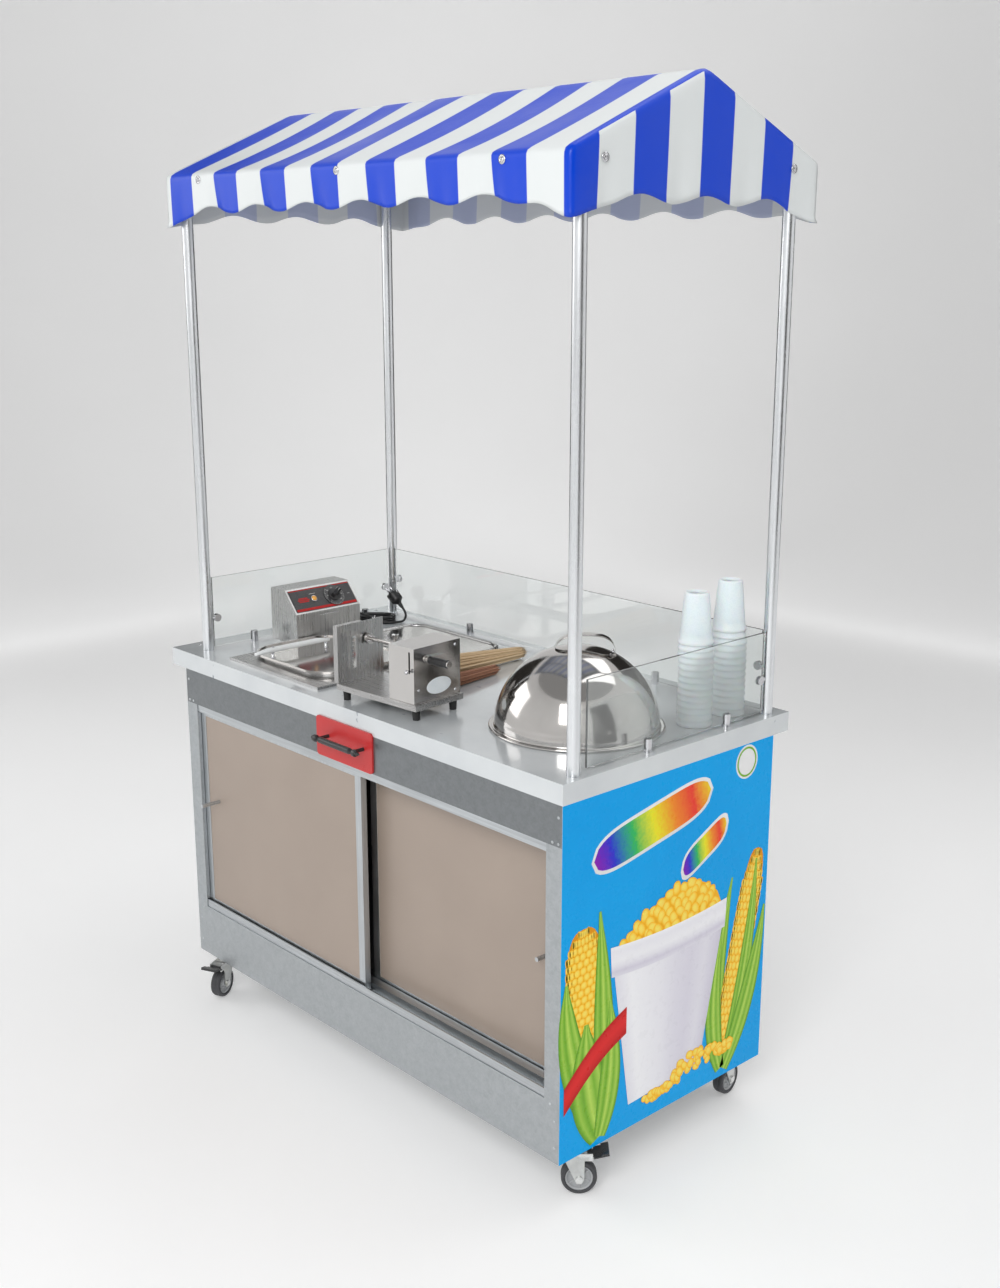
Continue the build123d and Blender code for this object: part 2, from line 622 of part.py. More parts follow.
# ---------------------------------------------------------------- poles and canopy
def canopy():
    bar_top = EAVE_Z - COVER_T - COVER_GAP
    bar_bottom = bar_top - CANOPY_BAR
    poles = []
    for x in (-POLE_X, POLE_X):
        for y in POLE_Y.values():
            poles.append(pipe((x, y, TOP_Z - POLE_SOCKET), (0, 0, 1),
                              bar_bottom - TOP_Z + POLE_SOCKET, POLE_R, POLE_WALL))
    nodes["canopy_poles"] = as_group(poles)

    half_bar = CANOPY_BAR / 2
    y0 = CANOPY_Y_FRONT + COVER_T + COVER_GAP
    y1 = CANOPY_Y_BACK - COVER_T - COVER_GAP
    bars = []
    for x in (-POLE_X, POLE_X):
        bars.append(square_tube(x - half_bar, x + half_bar, y0, y1, bar_bottom, bar_top, "y",
                                CANOPY_BAR_WALL))
    for ya in (y0, y1 - CANOPY_BAR):
        bars.append(square_tube(-POLE_X + half_bar, POLE_X - half_bar, ya, ya + CANOPY_BAR,
                                bar_bottom, bar_top, "x", CANOPY_BAR_WALL))
    # rafters: straight bars from each eave to the ridge, mitred where they meet
    slope = RIDGE_RISE / (CANOPY_Y - CANOPY_Y_FRONT)
    lift = CANOPY_BAR * sqrt(1 + slope ** 2)
    apex = bar_top + (CANOPY_Y - y0) * slope
    shift = lift / slope
    for x in (-POLE_X - half_bar, -half_bar, POLE_X - half_bar):
        for side in (-1, 1):
            foot = y0 if side < 0 else y1
            points = [(foot, bar_top), (CANOPY_Y, apex), (CANOPY_Y, apex - lift),
                      (foot - side * shift, bar_top)]
            plane = Plane(origin=(x, 0, 0), x_dir=(0, 1, 0), z_dir=(1, 0, 0))
            bars.append(prism(points, plane, CANOPY_BAR))
    ridge_top = apex - half_bar * slope
    for xa, xb in ((-POLE_X + half_bar, -half_bar), (half_bar, POLE_X - half_bar)):
        bars.append(square_tube(xa, xb, CANOPY_Y - half_bar, CANOPY_Y + half_bar,
                                ridge_top - CANOPY_BAR, ridge_top, "x", CANOPY_BAR_WALL))
    nodes["canopy_frame"] = as_group(bars)

    # cover: a house-shaped shell, open underneath
    def house(inset):
        ya, yb = CANOPY_Y_FRONT + inset, CANOPY_Y_BACK - inset
        drop = inset * (sqrt(1 + slope ** 2) - slope)
        top = inset * sqrt(1 + slope ** 2)
        bottom = EAVE_Z - VALANCE_H
        points = [(ya, bottom), (ya, EAVE_Z - drop), (CANOPY_Y, RIDGE_Z - top),
                  (yb, EAVE_Z - drop), (yb, bottom)]
        x = CANOPY_X - inset
        plane = Plane(origin=(-x, 0, 0), x_dir=(0, 1, 0), z_dir=(1, 0, 0))
        return prism(points, plane, 2 * x)

    nodes["canopy_cover"] = house(0) - house(COVER_T)

    screws = []
    z = EAVE_Z - SCREW_DOWN
    for share in SCREW_SHARES:
        screws.append(rod((share * CANOPY_X, CANOPY_Y_FRONT, z), (0, -1, 0), SCREW_T, SCREW_R))
        screws.append(rod((share * CANOPY_X, CANOPY_Y_BACK, z), (0, 1, 0), SCREW_T, SCREW_R))
    for side in (-1, 1):
        for share in SCREW_GABLE:
            y = CANOPY_Y_FRONT + share * (CANOPY_Y_BACK - CANOPY_Y_FRONT)
            screws.append(rod((side * CANOPY_X, y, z), (side, 0, 0), SCREW_T, SCREW_R))
    nodes["canopy_screws"] = as_group(screws)


# ---------------------------------------------------------------- glass guards
def glass():
    z0, z1 = TOP_Z + GLASS_LIFT, TOP_Z + GLASS_TOP
    reach = POLE_R + GLASS_POLE_GAP
    ya, yb = POLE_Y_FRONT + reach, POLE_Y_BACK - reach
    xa, xb = -POLE_X + reach, POLE_X - reach
    half = GLASS_T / 2
    # the right pane stops short of the front pole
    nodes["glass_guards"] = as_group([
        block(-POLE_X - half, -POLE_X + half, ya, yb, z0, z1),
        block(POLE_X - half, POLE_X + half, ya + reach, yb, z0, z1),
        block(xa, xb, POLE_Y_BACK - half, POLE_Y_BACK + half, z0, z1),
    ])

    def stud(x, y, along):
        """Slotted round clamp standing on the worktop under a pane."""
        body = rod((x, y, TOP_Z), (0, 0, 1), CLAMP_H, CLAMP_R)
        wide, thin = CLAMP_R * 2, half
        dx, dy = (wide, thin) if along == "x" else (thin, wide)
        return body - block(x - dx, x + dx, y - dy, y + dy, z0, z0 + CLAMP_H)

    def jaws(x, y, z, along):
        """Two discs gripping a pane edge, carried on a stub from the pole."""
        toward = {"x+": (1, 0, 0), "x-": (-1, 0, 0), "y+": (0, 1, 0), "y-": (0, -1, 0)}[along]
        side = (0, 1, 0) if along[0] == "x" else (1, 0, 0)
        out = Vector(*toward) * (POLE_R + CLAMP_LIP)
        grip = Vector(x, y, z) + out
        start = grip - Vector(*side) * (half + CLAMP_CHEEK)
        body = rod(start, side, GLASS_T + 2 * CLAMP_CHEEK, CLAMP_R)
        stub_start = Vector(x, y, z) + Vector(*toward) * POLE_R
        body += rod(stub_start, toward, CLAMP_LIP, half + CLAMP_CHEEK / 2)
        far = GLASS_POLE_GAP + CLAMP_LIP + CLAMP_R * 2
        near = Vector(x, y, z) + Vector(*toward) * reach
        end = near + Vector(*toward) * far
        across = Vector(*side) * half
        a, b = near - across, end + across
        slot = block(min(a.X, b.X), max(a.X, b.X), min(a.Y, b.Y), max(a.Y, b.Y),
                     z - CLAMP_R * 2, z + CLAMP_R * 2)
        return body - slot

    clamps = []
    mid_y = (POLE_Y_FRONT + POLE_Y_BACK) / 2
    for step in STUD_LEFT:
        clamps.append(stud(-POLE_X, mid_y + step, "y"))
    for step in STUD_RIGHT:
        clamps.append(stud(POLE_X, mid_y + step, "y"))
    for share in STUD_BACK:
        clamps.append(stud(share * POLE_X, POLE_Y_BACK, "x"))
    z = TOP_Z + CLAMP_Z
    clamps.append(jaws(-POLE_X, POLE_Y_FRONT, z, "y+"))
    clamps.append(jaws(-POLE_X, POLE_Y_BACK, z, "y-"))
    clamps.append(jaws(POLE_X, POLE_Y_BACK, z, "y-"))
    clamps.append(jaws(POLE_X, POLE_Y_BACK, z + CLAMP_STEP, "x-"))
    clamps.append(jaws(-POLE_X, POLE_Y_BACK, z + CLAMP_STEP, "x+"))
    nodes["glass_clamps"] = as_group(clamps)


# ---------------------------------------------------------------- casters
def casters():
    plates = []
    plate_z0 = CAB_Z0 - CASTER_PLATE_T
    for key, (end, in_x, side, in_y, turn) in CASTER_SPOTS.items():
        x, y = end * (CAB_X - in_x), side * (CAB_Y - in_y)
        half = CASTER_PLATE / 2
        plate = block(x - half, x + half, y - half, y + half, plate_z0, CAB_Z0)
        plate += rod((x, y, FORK_TOP_Z + FORK_T + STAND_GAP), (0, 0, 1),
                     plate_z0 - FORK_TOP_Z - FORK_T - STAND_GAP, RACE_R - 2)
        plate += rod((x, y, FORK_TOP_Z - BOLT_HEAD - STAND_GAP), (0, 0, 1),
                     CAB_Z0 - FORK_TOP_Z + BOLT_HEAD, STEM_R)
        plate += rod((x, y, FORK_TOP_Z - BOLT_HEAD - STAND_GAP), (0, 0, 1), BOLT_HEAD, STEM_R * 1.5)
        for dx in (-1, 1):
            for dy in (-1, 1):
                bolt = half - BOLT_R * 2
                plate += rod((x + dx * bolt, y + dy * bolt, plate_z0 - BOLT_HEAD), (0, 0, 1),
                             BOLT_HEAD, BOLT_R)
        plates.append(plate)
        place = Pos(x, y, 0) * Rot(0, 0, turn)
        nodes[f"caster_{key}_fork"] = place * fork()
        nodes[f"caster_{key}_wheel"] = place * wheel()
        if key[0] == "f":
            nodes[f"caster_{key}_brake"] = place * brake()
    nodes["caster_plates"] = as_group(plates)


def fork():
    """Swivel fork about the stem, trailing along its own +X."""
    cheek_y = WHEEL_W / 2 + FORK_GAP
    crown = rod((0, 0, FORK_TOP_Z), (0, 0, 1), FORK_T, RACE_R)
    crown += block(-RACE_R * 0.6, TRAIL + AXLE_R, -cheek_y - FORK_T, cheek_y + FORK_T,
                   FORK_TOP_Z, FORK_TOP_Z + FORK_T)
    crown -= rod((0, 0, FORK_TOP_Z - FORK_T), (0, 0, 1), FORK_T * 3, STEM_R + STEM_FIT)
    cheek = [(-RACE_R * 0.6, FORK_TOP_Z + FORK_T), (TRAIL + AXLE_R * 2, FORK_TOP_Z + FORK_T),
             (TRAIL + AXLE_R * 2, WHEEL_R), (TRAIL + AXLE_R, WHEEL_R - AXLE_R * 2),
             (TRAIL - AXLE_R, WHEEL_R - AXLE_R * 2)]
    body = crown
    for y in (-cheek_y - FORK_T, cheek_y):
        plane = Plane(origin=(0, y + FORK_T, 0), x_dir=(1, 0, 0), z_dir=(0, -1, 0))
        body += prism(cheek, plane, FORK_T)
    body += rod((TRAIL, -cheek_y - FORK_T, WHEEL_R), (0, 1, 0), 2 * (cheek_y + FORK_T), AXLE_R)
    for y in (-cheek_y - FORK_T, cheek_y + FORK_T):
        out = -1 if y < 0 else 1
        body += rod((TRAIL, y, WHEEL_R), (0, out, 0), AXLE_R * 0.6, AXLE_R * 1.4)
    # ears that carry the brake pin
    pin_x = TRAIL + BRAKE_PIN_OUT
    for y in (-cheek_y - FORK_T, cheek_y):
        ear = block(TRAIL, pin_x + BRAKE_PIN_R * 1.6, y, y + FORK_T,
                    BRAKE_PIN_Z - BRAKE_PIN_R * 1.6, FORK_TOP_Z + FORK_T)
        body += ear
    body += rod((pin_x, -cheek_y - FORK_T, BRAKE_PIN_Z), (0, 1, 0), 2 * (cheek_y + FORK_T),
                BRAKE_PIN_R)
    return body


def wheel():
    """Hub and tyre on the fork's axle."""
    rim_r = WHEEL_R - TYRE_T
    centre = Vector(TRAIL, 0, WHEEL_R)

    def disc(width, radius):
        return rod(centre - Vector(0, width / 2, 0), (0, 1, 0), width, radius)

    hub = disc(HUB_W, rim_r)
    groove = disc(HUB_W, rim_r * 0.84) - disc(HUB_W, rim_r * 0.42)
    web = disc(HUB_W * 0.45, rim_r)
    hub = hub - (groove - web)
    hub -= disc(HUB_W * 2, AXLE_R + AXLE_FIT)
    tyre = disc(WHEEL_W, WHEEL_R) - disc(WHEEL_W, rim_r)
    edges = [e for e in tyre.edges() if e.geom_type == GeomType.CIRCLE and e.radius > WHEEL_R - 1]
    tyre = fillet(edges, TYRE_T * 0.4)
    return as_group([hub, tyre])


def brake():
    """Foot pedal on the fork's cross pin, sloping up away from the wheel."""
    inner = WHEEL_W / 2 + FORK_GAP - STAND_GAP * 2
    body = rod((0, -inner, 0), (0, 1, 0), 2 * inner, BRAKE_PIN_R + BRAKE_T)
    # the neck passes between the fork's ears, then the tread widens
    clear = BRAKE_PIN_R * 1.6 + BRAKE_T
    body += block(0, clear + BRAKE_T, -inner, inner, 0, BRAKE_T)
    body += block(clear, BRAKE_L, -BRAKE_W / 2, BRAKE_W / 2, 0, BRAKE_T)
    body += block(BRAKE_L * 0.6, BRAKE_L, -BRAKE_W / 2, BRAKE_W / 2, 0, BRAKE_T * 2.4)
    body -= rod((0, -BRAKE_W, 0), (0, 1, 0), 2 * BRAKE_W, BRAKE_PIN_R + AXLE_FIT)
    return Pos(TRAIL + BRAKE_PIN_OUT, 0, BRAKE_PIN_Z) * Rot(0, -BRAKE_TILT, 0) * body


# ---------------------------------------------------------------- fryer
def fryer():
    ox, oy = FRYER_X0 + TANK_SIDE, FRYER_Y0 + TANK_FRONT
    wall_x, wall_y = ox - TANK_WALL, oy - TANK_WALL
    wall_l, wall_w, wall_r = TANK_L + 2 * TANK_WALL, TANK_W + 2 * TANK_WALL, TANK_R + TANK_WALL
    z_flange = TOP_Z + FLANGE_T
    z_rim = z_flange + TANK_RIM_UP
    z_floor = z_rim - TANK_DEPTH
    flange = block(FRYER_X0, FRYER_X0 + FRYER_FLANGE_L, FRYER_Y0, FRYER_Y0 + FRYER_FLANGE_W,
                   TOP_Z, z_flange)
    tank = rounded_plate(wall_x, wall_y, wall_l, wall_w, wall_r, z_floor - TANK_WALL, z_rim)
    hollow = rounded_plate(ox, oy, TANK_L, TANK_W, TANK_R, z_floor, z_rim)
    nodes["fryer_tank"] = (flange + tank) - hollow

    lid_x, lid_y = wall_x - LID_OVER, wall_y - LID_OVER
    lid_l, lid_w = wall_l + 2 * LID_OVER, wall_w + 2 * LID_OVER
    lid_r = wall_r + LID_OVER
    z_lid = z_rim + LID_GAP
    plate = rounded_plate(lid_x, lid_y, lid_l, lid_w, lid_r, z_lid, z_lid + LID_T)
    rim = rounded_ring(lid_x, lid_y, lid_l, lid_w, lid_r, LID_RIM_W, z_lid, z_lid + LID_RIM_H)
    nodes["fryer_lid"] = plate + rim
    bar_x = ox + LID_HANDLE_X
    bar_y0 = lid_y - LID_HANDLE_FRONT
    bar_z = z_lid + LID_T + LID_HANDLE_UP
    bar = rod((bar_x, bar_y0, bar_z), (0, 1, 0), LID_HANDLE_L, LID_HANDLE_R)
    for y in (lid_y + LID_RIM_W * 3, bar_y0 + LID_HANDLE_L - LID_HANDLE_R * 1.5):
        bar += rod((bar_x, y, z_lid + LID_T), (0, 0, 1), LID_HANDLE_UP, LID_HANDLE_R * 0.6)
    nodes["fryer_lid_handle"] = bar

    # head: a folded case with a sloping face toward the tank
    hx0, hx1 = FRYER_X0 - HEAD_L, FRYER_X0
    z0 = TOP_Z
    outline = [(hx0, z0), (hx1, z0), (hx1, z0 + HEAD_SLOPE_Z), (hx0 + HEAD_TOP_L, z0 + HEAD_H),
               (hx0, z0 + HEAD_H)]
    plane = Plane(origin=(0, HEAD_Y0 + HEAD_W, 0), x_dir=(1, 0, 0), z_dir=(0, -1, 0))
    head = prism(outline, plane, HEAD_W)
    t = HEAD_SHEET
    slope_dx = hx1 - hx0 - HEAD_TOP_L
    slope_dz = HEAD_H - HEAD_SLOPE_Z
    run = hypot(slope_dx, slope_dz)
    nx, nz = slope_dz / run, slope_dx / run
    inner = [(hx0 + t, z0), (hx1 - t, z0), (hx1 - t, z0 + HEAD_SLOPE_Z - t),
             (hx0 + HEAD_TOP_L - t, z0 + HEAD_H - t), (hx0 + t, z0 + HEAD_H - t)]
    plane = Plane(origin=(0, HEAD_Y0 + HEAD_W - t, 0), x_dir=(1, 0, 0), z_dir=(0, -1, 0))
    head -= prism(inner, plane, HEAD_W - 2 * t)
    slope_mid = Vector((hx0 + HEAD_TOP_L + hx1) / 2, 0, z0 + (HEAD_H + HEAD_SLOPE_Z) / 2)
    normal = Vector(nx, 0, nz)

    def on_slope(y, up):
        return Vector(slope_mid.X, HEAD_Y0 + y, slope_mid.Z) + normal * up

    shaft_bore = rod(on_slope(KNOB_Y, -KNOB_H), normal, KNOB_H * 2, KNOB_SHAFT_R + KNOB_SHAFT_FIT)
    head -= shaft_bore
    nodes["fryer_head"] = head

    face = Plane(origin=on_slope(HEAD_W / 2, 0), x_dir=(0, 1, 0), z_dir=normal)
    panel = extrude(face * Rectangle(HEAD_W - 2 * PANEL_EDGE, run - 2 * PANEL_EDGE),
                    amount=PANEL_T, dir=normal)
    dial = rod(on_slope(KNOB_Y, 0), normal, DIAL_T, DIAL_R)
    nodes["fryer_panel"] = (panel + dial) - shaft_bore
    nodes["fryer_lamp"] = rod(on_slope(LAMP_Y, PANEL_T), normal, LAMP_H, LAMP_R)

    base = on_slope(KNOB_Y, DIAL_T + STAND_GAP)
    knob = rod(base, normal, KNOB_H, KNOB_R)
    grip = Plane(origin=base + normal * KNOB_H, x_dir=(0, 1, 0), z_dir=normal)
    knob = knob - extrude(grip * Pos(0, KNOB_R * 0.75, 0) * Rectangle(KNOB_R * 4, KNOB_R * 0.9),
                          amount=-KNOB_H * 0.65, dir=normal * -1)
    knob = knob - extrude(grip * Pos(0, -KNOB_R * 0.75, 0) * Rectangle(KNOB_R * 4, KNOB_R * 0.9),
                          amount=-KNOB_H * 0.65, dir=normal * -1)
    knob += rod(on_slope(KNOB_Y, -KNOB_H * 0.5), normal, KNOB_H, KNOB_SHAFT_R)
    nodes["fryer_knob"] = knob
    print("knob axis point", on_slope(KNOB_Y, 0), "normal", normal)

    # gland on the head's far end, where the power cord leaves
    gland_y = HEAD_Y0 + HEAD_W
    gland_x = hx0 + HEAD_L * 0.3
    nodes["cord_gland"] = rod((gland_x, gland_y, TOP_Z + GLAND_Z), (0, 1, 0), GLAND_L, GLAND_R)
    return Vector(gland_x, gland_y + GLAND_L, TOP_Z + GLAND_Z)


# ---------------------------------------------------------------- heated pan
def pan():
    z = TOP_Z
    wall = rounded_ring(PAN_X0 + PAN_RIM_R, PAN_Y0 + PAN_RIM_R, PAN_L - 2 * PAN_RIM_R,
                        PAN_W - 2 * PAN_RIM_R, PAN_R - PAN_RIM_R, PAN_WALL,
                        z - PAN_DEPTH, z + PAN_RIM_R)
    floor = rounded_plate(PAN_X0 + PAN_RIM_R, PAN_Y0 + PAN_RIM_R, PAN_L - 2 * PAN_RIM_R,
                          PAN_W - 2 * PAN_RIM_R, PAN_R - PAN_RIM_R, z - PAN_DEPTH - PAN_WALL,
                          z - PAN_DEPTH)
    rim = rounded_ring(PAN_X0, PAN_Y0, PAN_L, PAN_W, PAN_R, 2 * PAN_RIM_R, z, z + 2 * PAN_RIM_R)
    top = rim.edges().filter_by_position(Axis.Z, z + 2 * PAN_RIM_R, z + 2 * PAN_RIM_R)
    rim = fillet(top, PAN_RIM_R * 0.9)
    nodes["pan_well"] = rim + wall + floor

    inset = 2 * PAN_RIM_R + PAN_LID_GAP
    x0, y0 = PAN_X0 + inset, PAN_Y0 + inset
    z0 = z + PAN_RIM_R
    ledge = rounded_ring(PAN_X0 + PAN_RIM_R, PAN_Y0 + PAN_RIM_R, PAN_L - 2 * PAN_RIM_R,
                         PAN_W - 2 * PAN_RIM_R, PAN_R - PAN_RIM_R, PAN_RIM_R * 2,
                         z0 - PAN_LID_T - STAND_GAP, z0 - STAND_GAP)
    nodes["pan_well"] += ledge
    lid = rounded_plate(x0, y0, PAN_L - 2 * inset, PAN_W - 2 * inset, PAN_R - inset,
                        z0, z0 + PAN_LID_T)
    kx, ky = PAN_X0 + PAN_KNOB_X, PAN_Y0 + PAN_KNOB_Y
    stalk = rod((kx, ky, z0 + PAN_LID_T), (0, 0, 1), PAN_KNOB_H, PAN_KNOB_R * 0.5)
    stalk += rod((kx, ky, z0 + PAN_LID_T + PAN_KNOB_H * 0.5), (0, 0, 1), PAN_KNOB_H * 0.5,
                 PAN_KNOB_R)
    nodes["pan_lid"] = as_group([lid, stalk])


# ---------------------------------------------------------------- power cord
def power_cord(gland_end):
    z_lie = TOP_Z + CORD_R + STAND_GAP
    half_l, half_w = HANK_L / 2, HANK_W / 2
    ring_face = Pos(HANK_X, HANK_Y, TOP_Z + STAND_GAP) * Rot(0, 0, HANK_TURN)
    outer = extrude(ring_face * SlotOverall(HANK_L, HANK_W), amount=HANK_H, dir=(0, 0, 1))
    hole = extrude(ring_face * SlotOverall(HANK_L - 2 * HANK_BAND, HANK_W - 2 * HANK_BAND),
                   amount=HANK_H, dir=(0, 0, 1))
    nodes["cord_hank"] = outer - hole

    band = half_w - HANK_BAND / 2
    z_band = TOP_Z + HANK_H * 0.45

    def in_band(along, lift):
        """Point on the centre line of the hank's near side."""
        a = radians(HANK_TURN)
        return (HANK_X + along * cos(a) + band * sin(a), HANK_Y + along * sin(a) - band * cos(a),
                z_band + lift)

    g = gland_end
    lead_end = in_band(-half_l * 0.12, HANK_H * 0.05)
    out = (g.X, g.Y + LEAD_OUT, g.Z)
    bend = tuple(a + b for a, b in zip(out, LEAD_BEND))
    lead = [(g.X, g.Y, g.Z), out, bend, lead_end]
    tail = Vector(HANK_X, HANK_Y, TOP_Z) + Vector(*PLUG_FROM_HANK)
    axis = Vector(*PLUG_LEAN).normalized()
    back = tail - axis * PLUG_LEAD
    run_end = in_band(half_l * 0.15, 0)
    laid = [(back.X + dx, back.Y + dy, z_lie) for dx, dy in RUN_STEPS]
    run = [(tail.X, tail.Y, tail.Z), (back.X, back.Y, back.Z), *laid, run_end]
    cords = [cord_tube(lead, CORD_R, "gland to hank"), cord_tube(run, CORD_R, "hank to plug")]
    nodes["power_cord"] = as_group(cords)
    # the cord's ends lie bedded in the hank
    for piece in cords:
        nodes["cord_hank"] -= piece

    neck = rod(tail, axis, PLUG_NECK, PLUG_NECK_R)
    body = rod(tail + axis * PLUG_NECK, axis, PLUG_BODY, PLUG_R)
    tip = tail + axis * (PLUG_NECK + PLUG_BODY)
    across = axis.cross(Vector(0, 0, 1)).normalized() * (PIN_SPAN / 2)
    plug = neck + body
    for side in (-1, 1):
        plug += rod(tip + across * side, axis, PIN_L, PIN_R)
    nodes["power_plug"] = plug


# ---------------------------------------------------------------- spiral cutter
def cutter():
    place = Pos(CUTTER_X, CUTTER_Y, TOP_Z) * Rot(0, 0, CUTTER_TURN)
    deck = CUT_FOOT_H + CUT_BASE_SKIRT
    local = {}
    base = block(0, CUT_BASE_L, 0, CUT_BASE_W, CUT_FOOT_H, deck)
    base -= block(CUT_BASE_T, CUT_BASE_L - CUT_BASE_T, CUT_BASE_T, CUT_BASE_W - CUT_BASE_T,
                  CUT_FOOT_H, deck - CUT_BASE_T)
    local["cutter_base"] = base
    feet = []
    for x in (CUT_FOOT_INSET, CUT_BASE_L - CUT_FOOT_INSET):
        for y in (CUT_FOOT_INSET, CUT_BASE_W - CUT_FOOT_INSET):
            foot = Pos(x, y, (deck - CUT_BASE_T) / 2) * Cone(CUT_FOOT_R * 0.8, CUT_FOOT_R,
                                                             deck - CUT_BASE_T)
            feet.append(foot)
    local["cutter_feet"] = as_group(feet)

    # blade plate with a folded edge, a cutting window and its toothed blade
    plate = block(0, CUT_PLATE_T, CUT_PLATE_EDGE, CUT_BASE_W - CUT_PLATE_EDGE,
                  deck, deck + CUT_PLATE_H)
    plate += block(-CUT_PLATE_FLANGE, CUT_PLATE_T, CUT_PLATE_EDGE, CUT_PLATE_EDGE + CUT_PLATE_T,
                   deck, deck + CUT_PLATE_H)
    plate += block(-CUT_PLATE_FLANGE, CUT_PLATE_T, CUT_PLATE_EDGE, CUT_BASE_W * 0.55,
                   deck + CUT_PLATE_H - CUT_PLATE_T, deck + CUT_PLATE_H)
    window = block(-CUT_PLATE_T, CUT_PLATE_T * 2, CUT_WINDOW_Y, CUT_WINDOW_Y + CUT_WINDOW_W,
                   CUT_WINDOW_Z, CUT_WINDOW_Z + CUT_WINDOW_H)
    plate -= window
    plate += rod((CUT_PLATE_T, CUT_SHAFT_Y, CUT_SHAFT_Z), (1, 0, 0), CUT_HUB_T * 0.4, CUT_HUB_R * 1.3)
    bore = rod((-CUT_HUB_T, CUT_SHAFT_Y, CUT_SHAFT_Z), (1, 0, 0), CUT_HUB_T * 3,
               CUT_SHAFT_R + AXLE_FIT)
    plate -= bore
    bar_w = CUT_WINDOW_W * 0.45
    blade = block(CUT_PLATE_T, CUT_PLATE_T + BLADE_T, CUT_WINDOW_Y - bar_w / 2,
                  CUT_WINDOW_Y + bar_w / 2, CUT_WINDOW_Z - 3, CUT_WINDOW_Z + CUT_WINDOW_H + 3)
    pitch = CUT_WINDOW_H / BLADE_TEETH
    for i in range(BLADE_TEETH):
        z = CUT_WINDOW_Z + pitch * (i + 0.25)
        blade += block(CUT_PLATE_T, CUT_PLATE_T + BLADE_T, CUT_WINDOW_Y + bar_w / 2 - 0.5,
                       CUT_WINDOW_Y + bar_w, z, z + pitch * 0.5)
    local["cutter_blade_plate"] = as_group([plate, blade])

    box_x1 = CUT_BASE_L - BOX_LIP
    box_x0 = box_x1 - BOX_L
    box_z1 = deck + BOX_H
    case = block(box_x0, box_x1, BOX_EDGE, BOX_EDGE + BOX_W, deck, box_z1)
    case -= block(box_x0 + BOX_SHEET, box_x1 - BOX_SHEET, BOX_EDGE + BOX_SHEET,
                  BOX_EDGE + BOX_W - BOX_SHEET, deck, box_z1 - BOX_SHEET)
    case -= rod((box_x0 - CUT_HUB_T, CUT_SHAFT_Y, CUT_SHAFT_Z), (1, 0, 0), BOX_L + 2 * CUT_HUB_T,
                CUT_SHAFT_R + AXLE_FIT)
    slot_x = box_x1 - SLOT_FROM_FRONT
    case -= block(slot_x - SLOT_W / 2, slot_x + SLOT_W / 2, 0, BOX_EDGE + BOX_SHEET * 2,
                  SLOT_Z, SLOT_Z + SLOT_H)
    local["cutter_gearbox"] = case

    # one drive shaft from the spiked hub through the gearbox to the crank
    shaft_end = box_x1 + CRANK_GAP
    shaft = rod((-CUT_HUB_T, CUT_SHAFT_Y, CUT_SHAFT_Z), (1, 0, 0), shaft_end + CUT_HUB_T, CUT_SHAFT_R)
    hub_x = CUT_PLATE_T + CUT_HUB_T
    shaft += rod((hub_x, CUT_SHAFT_Y, CUT_SHAFT_Z), (1, 0, 0), CUT_HUB_T, CUT_HUB_R)
    a = radians(CRANK_ANGLE)
    grip_y = CUT_SHAFT_Y + CRANK_ARM * cos(a)
    grip_z = CUT_SHAFT_Z + CRANK_ARM * sin(a)
    arm_plane = Plane(origin=(shaft_end, (CUT_SHAFT_Y + grip_y) / 2, (CUT_SHAFT_Z + grip_z) / 2),
                      x_dir=(0, cos(a), sin(a)), z_dir=(1, 0, 0))
    arm = extrude(arm_plane * SlotCenterToCenter(CRANK_ARM, CRANK_W), amount=CRANK_T, dir=(1, 0, 0))
    pin_end = shaft_end + CRANK_T + GRIP_L
    shaft += arm
    shaft += rod((shaft_end + CRANK_T, grip_y, grip_z), (1, 0, 0), GRIP_L + STAND_GAP * 2,
                 GRIP_PIN_R)
    shaft += rod((pin_end + STAND_GAP * 2, grip_y, grip_z), (1, 0, 0), GRIP_CAP_T, GRIP_R * 0.8)
    local["cutter_crank"] = shaft
    grip_x0 = shaft_end + CRANK_T + STAND_GAP
    grip = rod((grip_x0, grip_y, grip_z), (1, 0, 0), GRIP_L, GRIP_R)
    ends = [e for e in grip.edges() if e.geom_type == GeomType.CIRCLE]
    grip = fillet(ends, GRIP_R * 0.25)
    grip -= rod((grip_x0 - 1, grip_y, grip_z), (1, 0, 0), GRIP_L + 2, GRIP_PIN_R + GRIP_FIT)
    local["cutter_grip"] = grip

    lever_z = SLOT_Z + LEVER_R * 2.4
    lever = rod((slot_x, BOX_EDGE + BOX_SHEET * 4, lever_z), (0, -1, 0),
                BOX_EDGE + BOX_SHEET * 4 + LEVER_BALL_R, LEVER_R)
    lever += Pos(slot_x, -LEVER_BALL_R, lever_z) * Sphere(LEVER_BALL_R)
    local["cutter_lever"] = lever

    for name, shape in local.items():
        nodes[name] = place * shape
    for label, point in (("crank axis", (0, CUT_SHAFT_Y, CUT_SHAFT_Z)),
                         ("grip axis", (grip_x0, grip_y, grip_z)),
                         ("lever", (slot_x, 0, lever_z))):
        print(label, (place * Pos(*point)).position)


